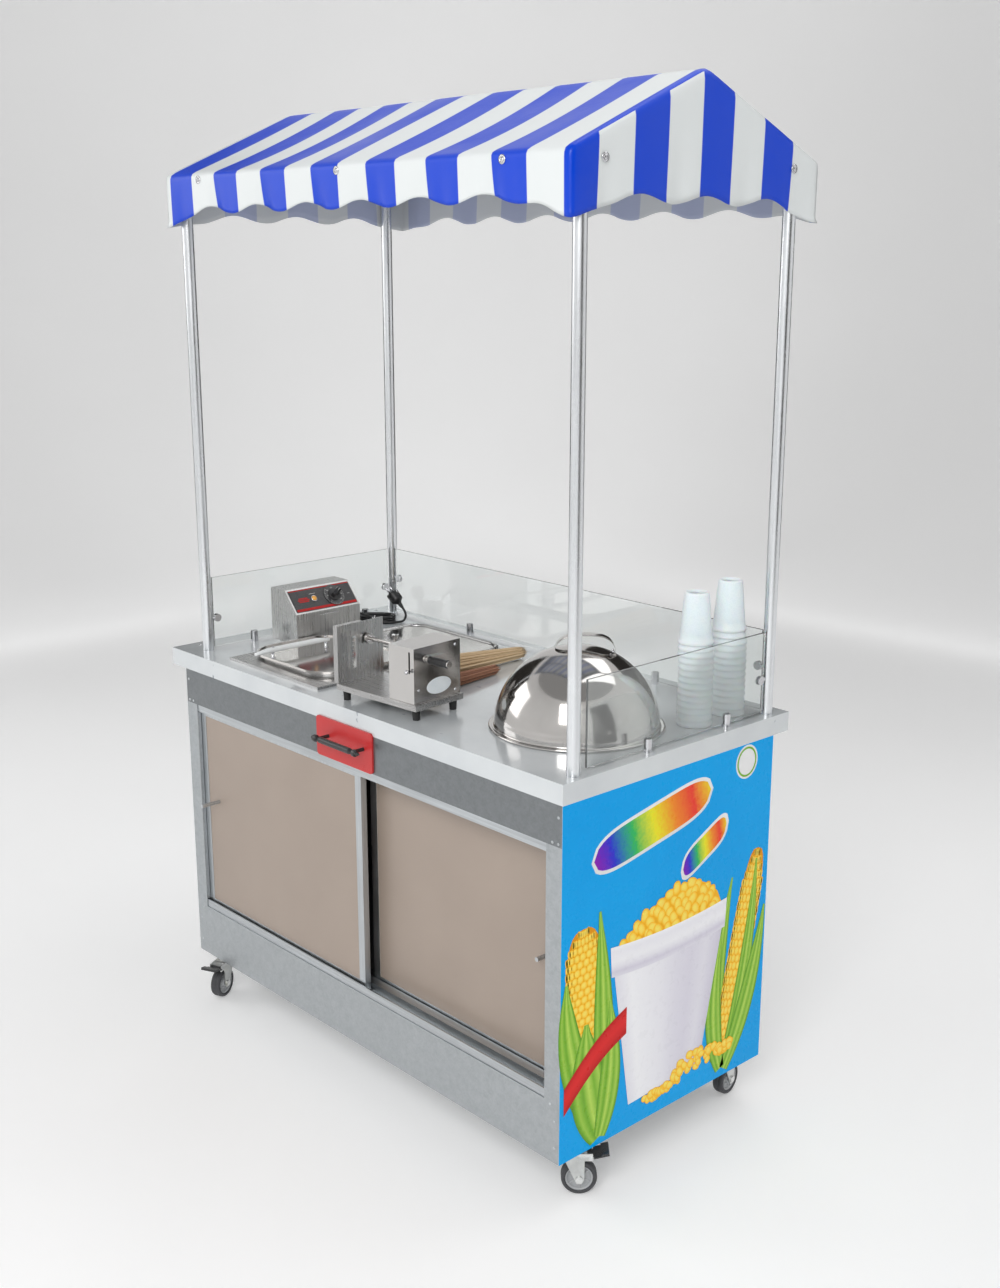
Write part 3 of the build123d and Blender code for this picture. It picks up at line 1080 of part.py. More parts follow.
# ---------------------------------------------------------------- cloche, cups, skewers
def cloche():
    z0 = TOP_Z + STAND_GAP
    band_top = z0 + CLOCHE_RIM_T + CLOCHE_BAND_H
    rise = z0 + CLOCHE_H - band_top

    def bell(inset):
        radius = CLOCHE_R - inset
        height = rise - inset
        ball = (radius ** 2 + height ** 2) / (2 * height)
        start = (radius, band_top)
        mid_a = 0.5 * atan2(radius, ball - height)
        mid = (ball * sin(mid_a), band_top + height - ball + ball * cos(mid_a))
        end = (0, band_top + height)
        wall = Polyline((0, z0), (radius, z0), start)
        dome = ThreePointArc(start, mid, end)
        close = Line(end, (0, z0))
        section = Plane.XZ * make_face([*wall.edges(), dome, close])
        return revolve(section, axis=Axis.Z, revolution_arc=360)

    shell = bell(0) - bell(CLOCHE_T)
    rim = Solid.make_cylinder(CLOCHE_RIM_R, CLOCHE_RIM_T, Plane(origin=(0, 0, z0)))
    rim = fillet(rim.edges(), CLOCHE_RIM_T * 0.4)
    rim -= Solid.make_cylinder(CLOCHE_R - CLOCHE_T, CLOCHE_RIM_T * 3,
                               Plane(origin=(0, 0, z0 - CLOCHE_RIM_T)))
    place = Pos(CLOCHE_X, CLOCHE_Y, 0) * Rot(0, 0, CLOCHE_TURN)
    nodes["cloche_dome"] = place * (shell + rim)

    # strap handle: an arched band whose feet sit on the dome
    ball = (CLOCHE_R ** 2 + rise ** 2) / (2 * rise)
    top = band_top + rise
    foot_z = top - ball + sqrt(ball ** 2 - (CLOCHE_STRAP_SPAN + CLOCHE_STRAP_OFF) ** 2)
    outer_arc = ThreePointArc((-CLOCHE_STRAP_SPAN, foot_z - CLOCHE_STRAP_T),
                              (0, top + CLOCHE_STRAP_RISE + CLOCHE_STRAP_T),
                              (CLOCHE_STRAP_SPAN, foot_z - CLOCHE_STRAP_T))
    inner_half = CLOCHE_STRAP_SPAN - CLOCHE_STRAP_T * 1.6
    inner_arc = ThreePointArc((inner_half, foot_z - CLOCHE_STRAP_T), (0, top + CLOCHE_STRAP_RISE),
                              (-inner_half, foot_z - CLOCHE_STRAP_T))
    joins = [Line(outer_arc @ 1, inner_arc @ 0), Line(inner_arc @ 1, outer_arc @ 0)]
    section = Plane.XZ * make_face([outer_arc, joins[0], inner_arc, joins[1]])
    strap = Pos(CLOCHE_STRAP_OFF, 0, 0) * extrude(section, amount=CLOCHE_STRAP_W / 2, both=True)
    nodes["cloche_handle"] = place * (strap - bell(0))


def cup(z0, pitch):
    """One upturned cup: rim down at z0, closed base on top."""
    slope = (CUP_RIM_R - CUP_BASE_R) / CUP_H
    skirt = pitch - STAND_GAP
    r0 = CUP_RIM_R
    points = [(r0 - CUP_WALL, z0), (r0 + CUP_BEAD, z0), (r0 + CUP_BEAD, z0 + skirt * 0.45),
              (r0 - slope * skirt, z0 + skirt), (CUP_BASE_R, z0 + CUP_H), (0, z0 + CUP_H),
              (0, z0 + CUP_H - CUP_WALL * 2), (CUP_BASE_R - CUP_WALL, z0 + CUP_H - CUP_WALL * 2)]
    section = Plane.XZ * make_face(Polyline(*points, close=True))
    return revolve(section, axis=Axis.Z, revolution_arc=360)


def table_goods():
    for name, (in_x, from_back, pitch) in CUP_PLACES.items():
        x, y = POLE_X - in_x, POLE_Y_BACK - from_back
        stack = []
        for i in range(CUP_COUNT):
            stack.append(Pos(x, y, 0) * cup(TOP_Z + STAND_GAP + i * pitch, pitch))
        nodes[f"cup_stack_{name}"] = as_group(stack)
    nodes["skewer_bundles"] = as_group([
        lying_cone(SKEWER_X, SKEWER_Y, SKEWER_TURN, SKEWER_L, SKEWER_R, SKEWER_TIP_R),
        lying_cone(SHORT_X, SHORT_Y, SHORT_TURN, SHORT_L, SHORT_R, SHORT_TIP_R),
    ])


def lying_cone(x, y, turn, length, r0, r1):
    """Tapered bundle lying along its side on the worktop."""
    drop = atan2(r0 - r1, length)
    a = radians(turn)
    axis = (cos(drop) * cos(a), cos(drop) * sin(a), -sin(drop))
    z = TOP_Z + STAND_GAP + r0 * cos(drop)
    return Solid.make_cone(r0, r1, length, Plane(origin=(x, y, z), z_dir=axis))


# ---------------------------------------------------------------- build and export
cabinet()
worktop()
doors()
drawer()
canopy()
glass()
casters()
gland_end = fryer()
pan()
power_cord(gland_end)
cutter()
cloche()
table_goods()

bounds = Compound([s for shape in nodes.values() for s in shape.solids()]).bounding_box()
shift = Pos(-(bounds.min.X + bounds.max.X) / 2, -(bounds.min.Y + bounds.max.Y) / 2, 0)
print("origin shift", shift.position)
for name, shape in nodes.items():
    export_step(shift * shape, f"parts/{name}.step")
print(len(nodes), "nodes")
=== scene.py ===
"""Looks of the push vending cart: every length is in metres in the CAD's own frame.

The cart is laid out about the middle of its cabinet, so at(x, y, z) takes millimetres from there.
"""
import math
import random

import bmesh
import bpy
from mathutils import Matrix, Vector


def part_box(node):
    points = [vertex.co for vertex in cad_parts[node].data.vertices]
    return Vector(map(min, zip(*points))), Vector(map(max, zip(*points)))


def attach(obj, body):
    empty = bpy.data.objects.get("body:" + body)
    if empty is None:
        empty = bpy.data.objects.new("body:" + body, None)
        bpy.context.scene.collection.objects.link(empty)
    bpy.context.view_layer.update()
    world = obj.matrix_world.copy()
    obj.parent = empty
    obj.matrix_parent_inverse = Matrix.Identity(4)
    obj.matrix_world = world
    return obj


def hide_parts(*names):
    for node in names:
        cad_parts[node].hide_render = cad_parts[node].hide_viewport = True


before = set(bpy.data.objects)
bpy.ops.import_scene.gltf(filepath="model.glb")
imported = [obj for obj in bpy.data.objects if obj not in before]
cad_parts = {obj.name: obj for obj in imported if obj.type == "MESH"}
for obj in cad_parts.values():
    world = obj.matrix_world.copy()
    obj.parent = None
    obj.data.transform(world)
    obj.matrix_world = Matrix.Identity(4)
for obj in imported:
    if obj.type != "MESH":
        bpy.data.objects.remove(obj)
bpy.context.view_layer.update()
ROOT = "cart"
MM = 0.001

cab_low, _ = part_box("rear_and_left_panels")
_, cab_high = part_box("side_panel_right")
MIDDLE = Vector(((cab_low.x + cab_high.x) / 2, (cab_low.y + cab_high.y) / 2, 0))


def at(x, y, z):
    """Point in the row frame from millimetres about the cabinet's middle."""
    return MIDDLE + Vector((x, y, z)) * MM


def centre(node):
    """Middle of a CAD node's box."""
    low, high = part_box(node)
    return (low + high) / 2


# ---------------------------------------------------------------- camera
CAMERA_AT = (2.38655, -2.07558, 1.7547)
CAMERA_TILT = 75.531
CAMERA_TURN = 47.295
CAMERA_LENS = 42.0


def camera():
    data = bpy.data.cameras.new("camera")
    data.sensor_width = 36.0
    data.lens = CAMERA_LENS
    data.clip_end = 100.0
    obj = bpy.data.objects.new("camera", data)
    obj.location = CAMERA_AT
    obj.rotation_euler = (math.radians(CAMERA_TILT), 0, math.radians(CAMERA_TURN))
    bpy.context.scene.collection.objects.link(obj)
    bpy.context.scene.camera = obj


camera()


# ---------------------------------------------------------------- node materials
class Paint:
    """A node material under construction on one Principled BSDF."""

    def __init__(self, name, **sockets):
        self.mat = bpy.data.materials.new(name)
        self.mat.use_nodes = True
        self.tree = self.mat.node_tree
        self.bsdf = self.tree.nodes["Principled BSDF"]
        for key, value in sockets.items():
            self.bsdf.inputs[key.replace("_", " ")].default_value = value
        self.place = self.node("ShaderNodeTexCoord").outputs["Object"]

    def node(self, kind, settings=None, **inputs):
        made = self.tree.nodes.new(kind)
        for key, value in (settings or {}).items():
            setattr(made, key, value)
        for key, value in inputs.items():
            self.feed(made.inputs[key.replace("_", " ")], value)
        return made

    def feed(self, socket, value):
        if isinstance(value, bpy.types.NodeSocket):
            self.tree.links.new(value, socket)
        else:
            socket.default_value = value

    def stretched(self, stretch, turn=(0, 0, 0)):
        """The object's own coordinates, scaled and turned."""
        return self.node("ShaderNodeMapping", Vector=self.place, Scale=stretch,
                         Rotation=turn).outputs["Vector"]

    def noise(self, scale, stretch=(1, 1, 1), detail=4.0, rough=0.55, turn=(0, 0, 0)):
        made = self.node("ShaderNodeTexNoise", Vector=self.stretched(stretch, turn), Scale=scale,
                         Detail=detail, Roughness=rough)
        return made.outputs["Fac"]

    def cells(self, scale, stretch=(1, 1, 1), output="Distance", feature="F1"):
        made = self.node("ShaderNodeTexVoronoi", {"feature": feature},
                         Vector=self.stretched(stretch), Scale=scale)
        return made.outputs[output]

    def sum(self, a, b, how="ADD"):
        made = self.node("ShaderNodeMath", {"operation": how})
        self.feed(made.inputs[0], a)
        self.feed(made.inputs[1], b)
        return made.outputs[0]

    def spread(self, value, low, high, from_low=0.3, from_high=0.7):
        made = self.node("ShaderNodeMapRange")
        for i, v in enumerate((value, from_low, from_high, low, high)):
            self.feed(made.inputs[i], v)
        return made.outputs["Result"]

    def tint(self, fac, *stops):
        """Colour ramp: stops are (place, colour)."""
        made = self.node("ShaderNodeValToRGB", Fac=fac)
        ramp = made.color_ramp
        while len(ramp.elements) < len(stops):
            ramp.elements.new(0.5)
        for element, (place, colour) in zip(ramp.elements, stops):
            element.position = place
            element.color = (*colour, 1.0)
        return made.outputs["Color"]

    def mix(self, fac, a, b, blend="MIX"):
        made = self.node("ShaderNodeMix", {"data_type": "RGBA", "blend_type": blend})
        self.feed(made.inputs["Factor"], fac)
        for socket, value in ((made.inputs[6], a), (made.inputs[7], b)):
            self.feed(socket, value if isinstance(value, bpy.types.NodeSocket) else (*value, 1.0))
        return made.outputs[2]

    def axis(self, name):
        return self.node("ShaderNodeSeparateXYZ", Vector=self.place).outputs[name]

    def dots(self, scale, low, high, stretch=(1, 1, 1)):
        """Soft round spots: 1 inside a spot, 0 away from it."""
        return self.spread(self.cells(scale, stretch), 1.0, 0.0, low, high)

    def wear_and_edge_glint(self, colour, edge, amount=0.6):
        """The colour, lifted towards edge where the form turns sharply: rubbed wear and a painted edge
        highlight.
        """
        lift = self.node("ShaderNodeNewGeometry").outputs["Pointiness"]
        mask = self.spread(lift, 0.0, amount, 0.505, 0.56)
        return self.mix(mask, colour, edge)

    def set(self, key, value):
        self.feed(self.bsdf.inputs[key], value)

    def bump(self, height, strength=0.2, distance=0.001):
        made = self.node("ShaderNodeBump", Height=height, Strength=strength, Distance=distance)
        previous = self.bsdf.inputs["Normal"].links
        if previous:
            self.tree.links.new(previous[0].from_socket, made.inputs["Normal"])
        self.tree.links.new(made.outputs["Normal"], self.bsdf.inputs["Normal"])


SHEET_LIGHT = (0.49, 0.515, 0.53)
SHEET_DARK = (0.37, 0.395, 0.41)
FACE_SKIN = 0.5                # a print lies within this depth of its panel's outer face


def galvanised(name, light, dark):
    """Hot-dip sheet: angular spangle, faint rolling lines and handling stains."""
    p = Paint(name, Metallic=0.75)
    spangle = p.cells(240, (1, 1, 1), "Color")
    grey = p.node("ShaderNodeSeparateColor", Color=spangle).outputs["Red"]
    fine = p.noise(60, detail=6)
    blend = p.sum(p.sum(grey, 0.25, "MULTIPLY"), p.sum(fine, 0.75, "MULTIPLY"))
    colour = p.tint(blend, (0.2, dark), (0.8, light))
    stain = p.spread(p.noise(4, detail=5), 0.0, 0.35, 0.5, 0.75)
    p.set("Base Color", p.mix(stain, colour, tuple(c * 0.86 for c in light)))
    p.set("Roughness", p.spread(blend, 0.30, 0.48, 0.2, 0.8))
    p.bump(blend, 0.10, 0.0003)
    return p.mat


def brushed(name, colour, direction, roughness=0.28, lines=260.0, contrast=0.12, metallic=1.0):
    """Metal with fine lines along one axis and faint smudges."""
    p = Paint(name, Metallic=metallic, Anisotropic=0.35)
    stretch = [1.0, 1.0, 1.0]
    stretch["xyz".index(direction)] = 0.02
    grain = p.noise(lines, tuple(stretch), detail=5, rough=0.7)
    dark = tuple(c * (1 - 2 * contrast) for c in colour)
    light = tuple(min(1.0, c * (1 + contrast)) for c in colour)
    smudge = p.noise(9, detail=6)
    shade = p.mix(p.spread(smudge, 0.0, 0.35), p.tint(grain, (0.3, dark), (0.7, light)), dark)
    p.set("Base Color", shade)
    p.set("Roughness", p.sum(p.spread(grain, roughness * 0.8, roughness * 1.25),
                             p.spread(smudge, 0.0, 0.08), "ADD"))
    p.bump(grain, 0.12, 0.0001)
    return p.mat


def polished(name, colour, roughness=0.07):
    """Near mirror steel with spun rings too fine to see singly, wipe marks and dust."""
    p = Paint(name, Metallic=1.0)
    wipe = p.noise(14, (1, 1, 0.4), detail=7, rough=0.65)
    dust = p.dots(900, 0.0, 0.2)
    p.set("Base Color", p.mix(p.spread(wipe, 0.0, 0.3), colour, tuple(c * 0.85 for c in colour)))
    p.set("Roughness", p.sum(p.spread(wipe, roughness, roughness * 2.2),
                             p.sum(dust, 0.04, "MULTIPLY")))
    p.bump(p.noise(26, detail=2), 0.05, 0.0006)
    return p.mat


def plastic(name, colour, roughness, grain=900.0, depth=0.0002, metallic=0.0):
    """Moulded plastic: leather-fine grain, sharp edges lifted lighter as rubbed wear and a painted edge
    highlight, slight mottling.
    """
    p = Paint(name, Metallic=metallic)
    fine = p.noise(grain, detail=3)
    mottle = p.noise(18, detail=5)
    base = p.mix(p.spread(mottle, 0.0, 0.5), colour, tuple(min(1, c * 1.3 + 0.006) for c in colour))
    p.set("Base Color", p.wear_and_edge_glint(base, tuple(min(1, c * 1.4 + 0.05) for c in colour), 0.5))
    p.set("Roughness", p.spread(p.sum(fine, mottle, "MULTIPLY"), roughness * 0.8,
                                min(1.0, roughness * 1.3), 0.15, 0.4))
    p.bump(fine, 0.25, depth)
    return p.mat


def steel_spots(name, colour):
    """Bright zinc: bluish-yellow bloom, fine pits, and edges lifted near white as rubbed wear and a painted
    edge highlight.
    """
    p = Paint(name, Metallic=0.9)
    bloom = p.noise(28, detail=6)
    tone = p.tint(bloom, (0.3, tuple(c * 0.78 for c in colour)), (0.55, colour),
                  (0.8, (colour[0], colour[1] * 0.98, colour[2] * 0.88)))
    p.set("Base Color", p.wear_and_edge_glint(tone, (0.9, 0.9, 0.9), 0.5))
    p.set("Roughness", p.spread(p.noise(120, detail=5), 0.25, 0.45))
    p.bump(p.noise(700, detail=2), 0.15, 0.0001)
    return p.mat


def worktop_film():
    """Coated sheet under a clear protective film: faint print dashes, wrinkles and bubbles."""
    p = Paint("worktop_film", Metallic=0.15, Coat_Weight=0.6, Coat_Roughness=0.06)
    mottle = p.noise(7, detail=5)
    base = p.tint(mottle, (0.3, (0.60, 0.63, 0.65)), (0.7, (0.68, 0.71, 0.72)))
    # short slanted dashes in staggered rows, as a film's generic print
    rows = p.node("ShaderNodeTexBrick", {"offset": 0.5},
                  Vector=p.stretched((1, 1, 1), (0, 0, math.radians(-38))), Scale=1.0,
                  Mortar_Size=0.052, Brick_Width=0.21, Row_Height=0.11, Mortar_Smooth=0.0)
    dash = p.spread(rows.outputs["Fac"], 1.0, 0.0, 0.4, 0.6)
    broken = p.spread(p.noise(70, (1, 1, 1), detail=2), 0.0, 1.0, 0.62, 0.68)
    ink = p.sum(p.sum(dash, broken, "MULTIPLY"), 0.75, "MULTIPLY")
    p.set("Base Color", p.mix(ink, base, (0.26, 0.29, 0.33)))
    p.set("Roughness", p.spread(mottle, 0.14, 0.26))
    wrinkle = p.noise(11, (1.0, 0.35, 1.0), detail=3, turn=(0, 0, 0.5))
    bubble = p.dots(160, 0.0, 0.22)
    p.bump(p.sum(wrinkle, p.sum(bubble, 0.05, "MULTIPLY")), 0.25, 0.0012)
    return p.mat


def laminate():
    """Door board: fine fleck under a satin coat."""
    p = Paint("door_laminate", Coat_Weight=0.25, Coat_Roughness=0.22)
    fleck = p.noise(650, (1, 1, 1), detail=4, rough=0.7)
    cloud = p.noise(5, detail=4)
    base = p.tint(fleck, (0.35, (0.28, 0.222, 0.182)), (0.65, (0.40, 0.325, 0.270)))
    p.set("Base Color", p.mix(p.spread(cloud, 0.0, 0.25), base, (0.45, 0.37, 0.31)))
    p.set("Roughness", p.spread(fleck, 0.34, 0.5))
    p.bump(fleck, 0.15, 0.0002)
    return p.mat


def printed_blue():
    """Glossy print on the end panel's outer face, with orange-peel; bare sheet elsewhere."""
    p = Paint("printed_blue", Coat_Weight=0.03, Coat_Roughness=0.12, Specular_IOR_Level=0.12)
    screen = p.cells(1100)
    wash = p.noise(3, detail=3)
    base = p.tint(wash, (0.3, (0.0, 0.335, 0.80)), (0.7, (0.0, 0.385, 0.86)))
    blue = p.mix(p.spread(screen, 0.0, 0.10, 0.1, 0.6), base, (0.0, 0.42, 0.9))
    sheet = p.tint(p.noise(60, detail=6), (0.2, SHEET_DARK), (0.8, SHEET_LIGHT))
    outer_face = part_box("side_panel_right")[1][0] - FACE_SKIN * MM
    p.set("Base Color", p.mix(p.sum(p.axis("X"), outer_face, "GREATER_THAN"), sheet, blue))
    p.set("Roughness", p.spread(p.noise(60, detail=3), 0.24, 0.34))
    p.bump(p.noise(140, detail=2), 0.08, 0.0003)
    return p.mat


def board():
    """Raw particle board: chips of several browns."""
    p = Paint("particle_board", Roughness=0.85)
    chip = p.cells(260, (1, 1, 2.2), "Color")
    tone = p.node("ShaderNodeSeparateColor", Color=chip).outputs["Green"]
    p.set("Base Color", p.tint(tone, (0.1, (0.30, 0.19, 0.10)), (0.5, (0.46, 0.32, 0.19)),
                               (0.9, (0.60, 0.46, 0.30))))
    p.bump(tone, 0.5, 0.0006)
    return p.mat


def rubber(name, colour, roughness):
    """Rubber with bloom, dust in the low places and a fine grain."""
    p = Paint(name)
    dust = p.noise(45, detail=6)
    p.set("Base Color", p.mix(p.spread(dust, 0.0, 0.5), colour, tuple(c * 1.8 + 0.01 for c in colour)))
    p.set("Roughness", p.spread(p.noise(200, detail=3), roughness - 0.08, roughness + 0.1))
    p.bump(p.noise(1400, detail=2), 0.3, 0.0002)
    return p.mat


def glass_clear():
    """Clear pane: faint green, smears, and dust."""
    p = Paint("pane_glass", Transmission_Weight=0.94, IOR=1.45, Roughness=0.02)
    smear = p.noise(8, detail=6)
    p.set("Base Color", p.tint(smear, (0.3, (0.93, 0.965, 0.96)), (0.7, (0.97, 0.99, 0.985))))
    p.set("Roughness", p.spread(smear, 0.015, 0.07, 0.45, 0.8))
    return p.mat


BLUE = (0.0, 0.052, 0.60)
CLOTH_WHITE = (0.74, 0.77, 0.77)
STRIPE_PITCH = 170.5
STRIPE_LONG_CENTRE = -40.0
STRIPE_GABLE_CENTRE = -100.0


def canopy_cloth(name, axis, stripe_centre, inside):
    """Coated awning cloth: printed stripes over a woven scrim, paler on its inside."""
    p = Paint(name, Coat_Weight=0.05, Coat_Roughness=0.3, Specular_IOR_Level=0.22)
    run = p.sum(p.axis(axis), (MIDDLE.x if axis == "X" else MIDDLE.y) + stripe_centre * MM, "SUBTRACT")
    wander = p.sum(p.noise(2.3, detail=1), 0.5, "SUBTRACT")
    run = p.sum(run, p.sum(wander, 0.012, "MULTIPLY"))
    turns = p.sum(p.sum(run, STRIPE_PITCH * MM, "DIVIDE"), 2 * math.pi, "MULTIPLY")
    wave = p.node("ShaderNodeMath", {"operation": "COSINE"})
    p.feed(wave.inputs[0], turns)
    mask = p.spread(wave.outputs[0], 0.0, 1.0, -0.02, 0.05)
    blue = (0.42, 0.46, 0.62) if inside else BLUE
    white = (0.62, 0.64, 0.66) if inside else CLOTH_WHITE
    cloud = p.noise(6, detail=5)
    colour = p.mix(mask, white, blue)
    p.set("Base Color", p.mix(p.spread(cloud, 0.0, 0.02), colour, tuple(c * 0.8 for c in white)))
    weave_a = p.node("ShaderNodeTexWave", {"bands_direction": "X" if axis == "X" else "Y"},
                     Vector=p.place, Scale=160.0, Distortion=0.4)
    weave_b = p.node("ShaderNodeTexWave", {"bands_direction": "Z"}, Vector=p.place, Scale=160.0,
                     Distortion=0.4)
    weave = p.sum(weave_a.outputs["Fac"], weave_b.outputs["Fac"], "MULTIPLY")
    p.set("Roughness", p.spread(cloud, 0.28, 0.42))
    p.bump(p.noise(9, detail=3), 0.35, 0.004)
    p.bump(weave, 0.12, 0.0003)
    return p.mat


def wood_sticks(name, dark, light, along):
    """Split bamboo: grain along the stick and a tone of its own for each stick."""
    p = Paint(name)
    stretch = [1.0, 1.0, 1.0]
    stretch["xyz".index(along)] = 0.03
    grain = p.noise(420, tuple(stretch), detail=6)
    stick = p.node("ShaderNodeAttribute", {"attribute_name": "stick"}).outputs["Fac"]
    tone = p.sum(p.sum(grain, 0.5, "MULTIPLY"), p.sum(stick, 0.5, "MULTIPLY"))
    p.set("Base Color", p.tint(tone, (0.2, dark), (0.75, light)))
    p.set("Roughness", p.spread(grain, 0.5, 0.75))
    p.bump(grain, 0.3, 0.0003)
    return p.mat


def cup_foam():
    """Pressed foam: bead cells showing faintly through a thin translucent skin."""
    p = Paint("cup_foam", Subsurface_Weight=0.25, Subsurface_Scale=0.01)
    bead = p.cells(420)
    p.set("Base Color", p.tint(bead, (0.1, (0.95, 0.96, 0.97)), (0.8, (0.88, 0.90, 0.92))))
    p.set("Roughness", p.spread(bead, 0.38, 0.52, 0.1, 0.7))
    p.bump(bead, 0.18, 0.0003)
    return p.mat


def ink(name, stops, roughness=0.3):
    """Printed ink whose tone follows the shape's own shade attribute."""
    p = Paint(name, Coat_Weight=0.03, Coat_Roughness=0.12, Specular_IOR_Level=0.15)
    shade = p.node("ShaderNodeAttribute", {"attribute_name": "shade"}).outputs["Fac"]
    mottle = p.sum(p.sum(p.noise(130, detail=3), 0.5, "SUBTRACT"), 0.1, "MULTIPLY")
    p.set("Base Color", p.tint(p.sum(shade, mottle), *stops))
    p.set("Roughness", p.spread(p.noise(60, detail=3), roughness - 0.05, roughness + 0.05))
    return p.mat


GALVANISED = galvanised("galvanised", SHEET_LIGHT, SHEET_DARK)
# painted shade: the apron is the same galvanised sheet, given about half the lightness of the rest
GALV_APRON_PAINTED_SHADE = galvanised("galvanised_apron_painted_shade", (0.25, 0.265, 0.275), (0.18, 0.192, 0.20))
SATIN_ALU_X = brushed("aluminium_x", (0.60, 0.63, 0.65), "x", 0.34, 200)
SATIN_ALU_Z = brushed("aluminium_z", (0.60, 0.63, 0.65), "z", 0.34, 200)
POLE = brushed("pole_tube", (0.84, 0.86, 0.88), "z", 0.24, 160, 0.08)
FRAME = plastic("frame_paint", (0.42, 0.44, 0.45), 0.45, 500, metallic=0.4)
FILM = worktop_film()
DOOR = laminate()
PRINT = printed_blue()
BOARD = board()
RED = plastic("red_plastic", (0.42, 0.002, 0.003), 0.34, 1200)
BLACK = plastic("black_plastic", (0.012, 0.012, 0.013), 0.33, 900)
WHITE_TUBE = plastic("white_plastic", (0.72, 0.74, 0.74), 0.25, 700)
PANEL_BLACK = plastic("panel_black", (0.016, 0.015, 0.017), 0.28, 1500)
STAINLESS_X = brushed("stainless_x", (0.50, 0.495, 0.49), "x", 0.24)
STAINLESS_Z = brushed("stainless_z", (0.50, 0.495, 0.49), "z", 0.24)
MIRROR = polished("polished_steel", (0.60, 0.58, 0.56))
GEARBOX = polished("gearbox_steel", (0.60, 0.585, 0.57), 0.12)
ZINC = steel_spots("bright_zinc", (0.66, 0.67, 0.66))
NICKEL = polished("nickel", (0.66, 0.66, 0.68), 0.14)
TYRE = rubber("tyre_rubber", (0.045, 0.046, 0.05), 0.62)
HUB = plastic("hub_plastic", (0.36, 0.37, 0.38), 0.42, 700)
FOOT = rubber("foot_rubber", (0.012, 0.012, 0.012), 0.6)
CORD = rubber("cord_rubber", (0.010, 0.010, 0.010), 0.38)
GLASS = glass_clear()
FOAM = cup_foam()
AMBER = plastic("amber_lens", (0.85, 0.36, 0.05), 0.15, 500)
LABEL = plastic("blank_label", (0.74, 0.80, 0.84), 0.25, 1400)
TIE = plastic("tie_white", (0.75, 0.75, 0.72), 0.4, 1400)


def finish(material, *names):
    """Gives CAD nodes their material."""
    for name in names:
        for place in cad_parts[name].material_slots:
            place.material = material


finish(GALVANISED, "bottom_shelf", "rear_and_left_panels", "kick_and_stiles", "drawer_runners",
       "drawer_box")
finish(GALV_APRON_PAINTED_SHADE, "front_apron")
finish(SATIN_ALU_X, "door_tracks")
finish(SATIN_ALU_Z, "door_left_frame", "door_right_frame")
finish(POLE, "canopy_poles")
finish(FRAME, "frame_tubes", "canopy_frame")
finish(FILM, "worktop_skin")
finish(BOARD, "worktop_core")
finish(DOOR, "door_left_panel", "door_right_panel")
finish(PRINT, "side_panel_right")
finish(RED, "drawer_front")
finish(BLACK, "drawer_handle", "cutter_grip", "fryer_knob", "cord_gland")
finish(STAINLESS_X, "fryer_tank", "pan_well", "cutter_base")
finish(STAINLESS_Z, "fryer_head", "cutter_blade_plate")
finish(MIRROR, "fryer_lid", "pan_lid", "cutter_crank")
finish(GEARBOX, "cutter_gearbox")
finish(ZINC, "caster_plates", *[f"caster_{k}_fork" for k in ("fl", "fr", "bl", "br")])
finish(BLACK, "caster_fl_brake", "caster_fr_brake")
finish(NICKEL, "glass_clamps", "cutter_lever", "canopy_screws")
finish(SATIN_ALU_Z, "panel_rivets")
finish(FOOT, "cutter_feet")
finish(GLASS, "glass_guards")
finish(PANEL_BLACK, "fryer_panel")
finish(AMBER, "fryer_lamp")
finish(WHITE_TUBE, "fryer_lid_handle")


# ---------------------------------------------------------------- mesh helpers
def piece(name, verts, faces, material, body=ROOT, smooth=True, slot=None, replaces=(), extra=()):
    """A new mesh piece in the row frame, riding on a body."""
    mesh = bpy.data.meshes.new(name)
    mesh.from_pydata([tuple(v) for v in verts], [], faces)
    mesh.validate()
    obj = bpy.data.objects.new(name, mesh)
    bpy.context.scene.collection.objects.link(obj)
    for m in (material, *extra):
        mesh.materials.append(m)
    if smooth:
        mesh.shade_smooth()
    if body:
        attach(obj, body)
    if replaces:
        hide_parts(*replaces)
    return obj


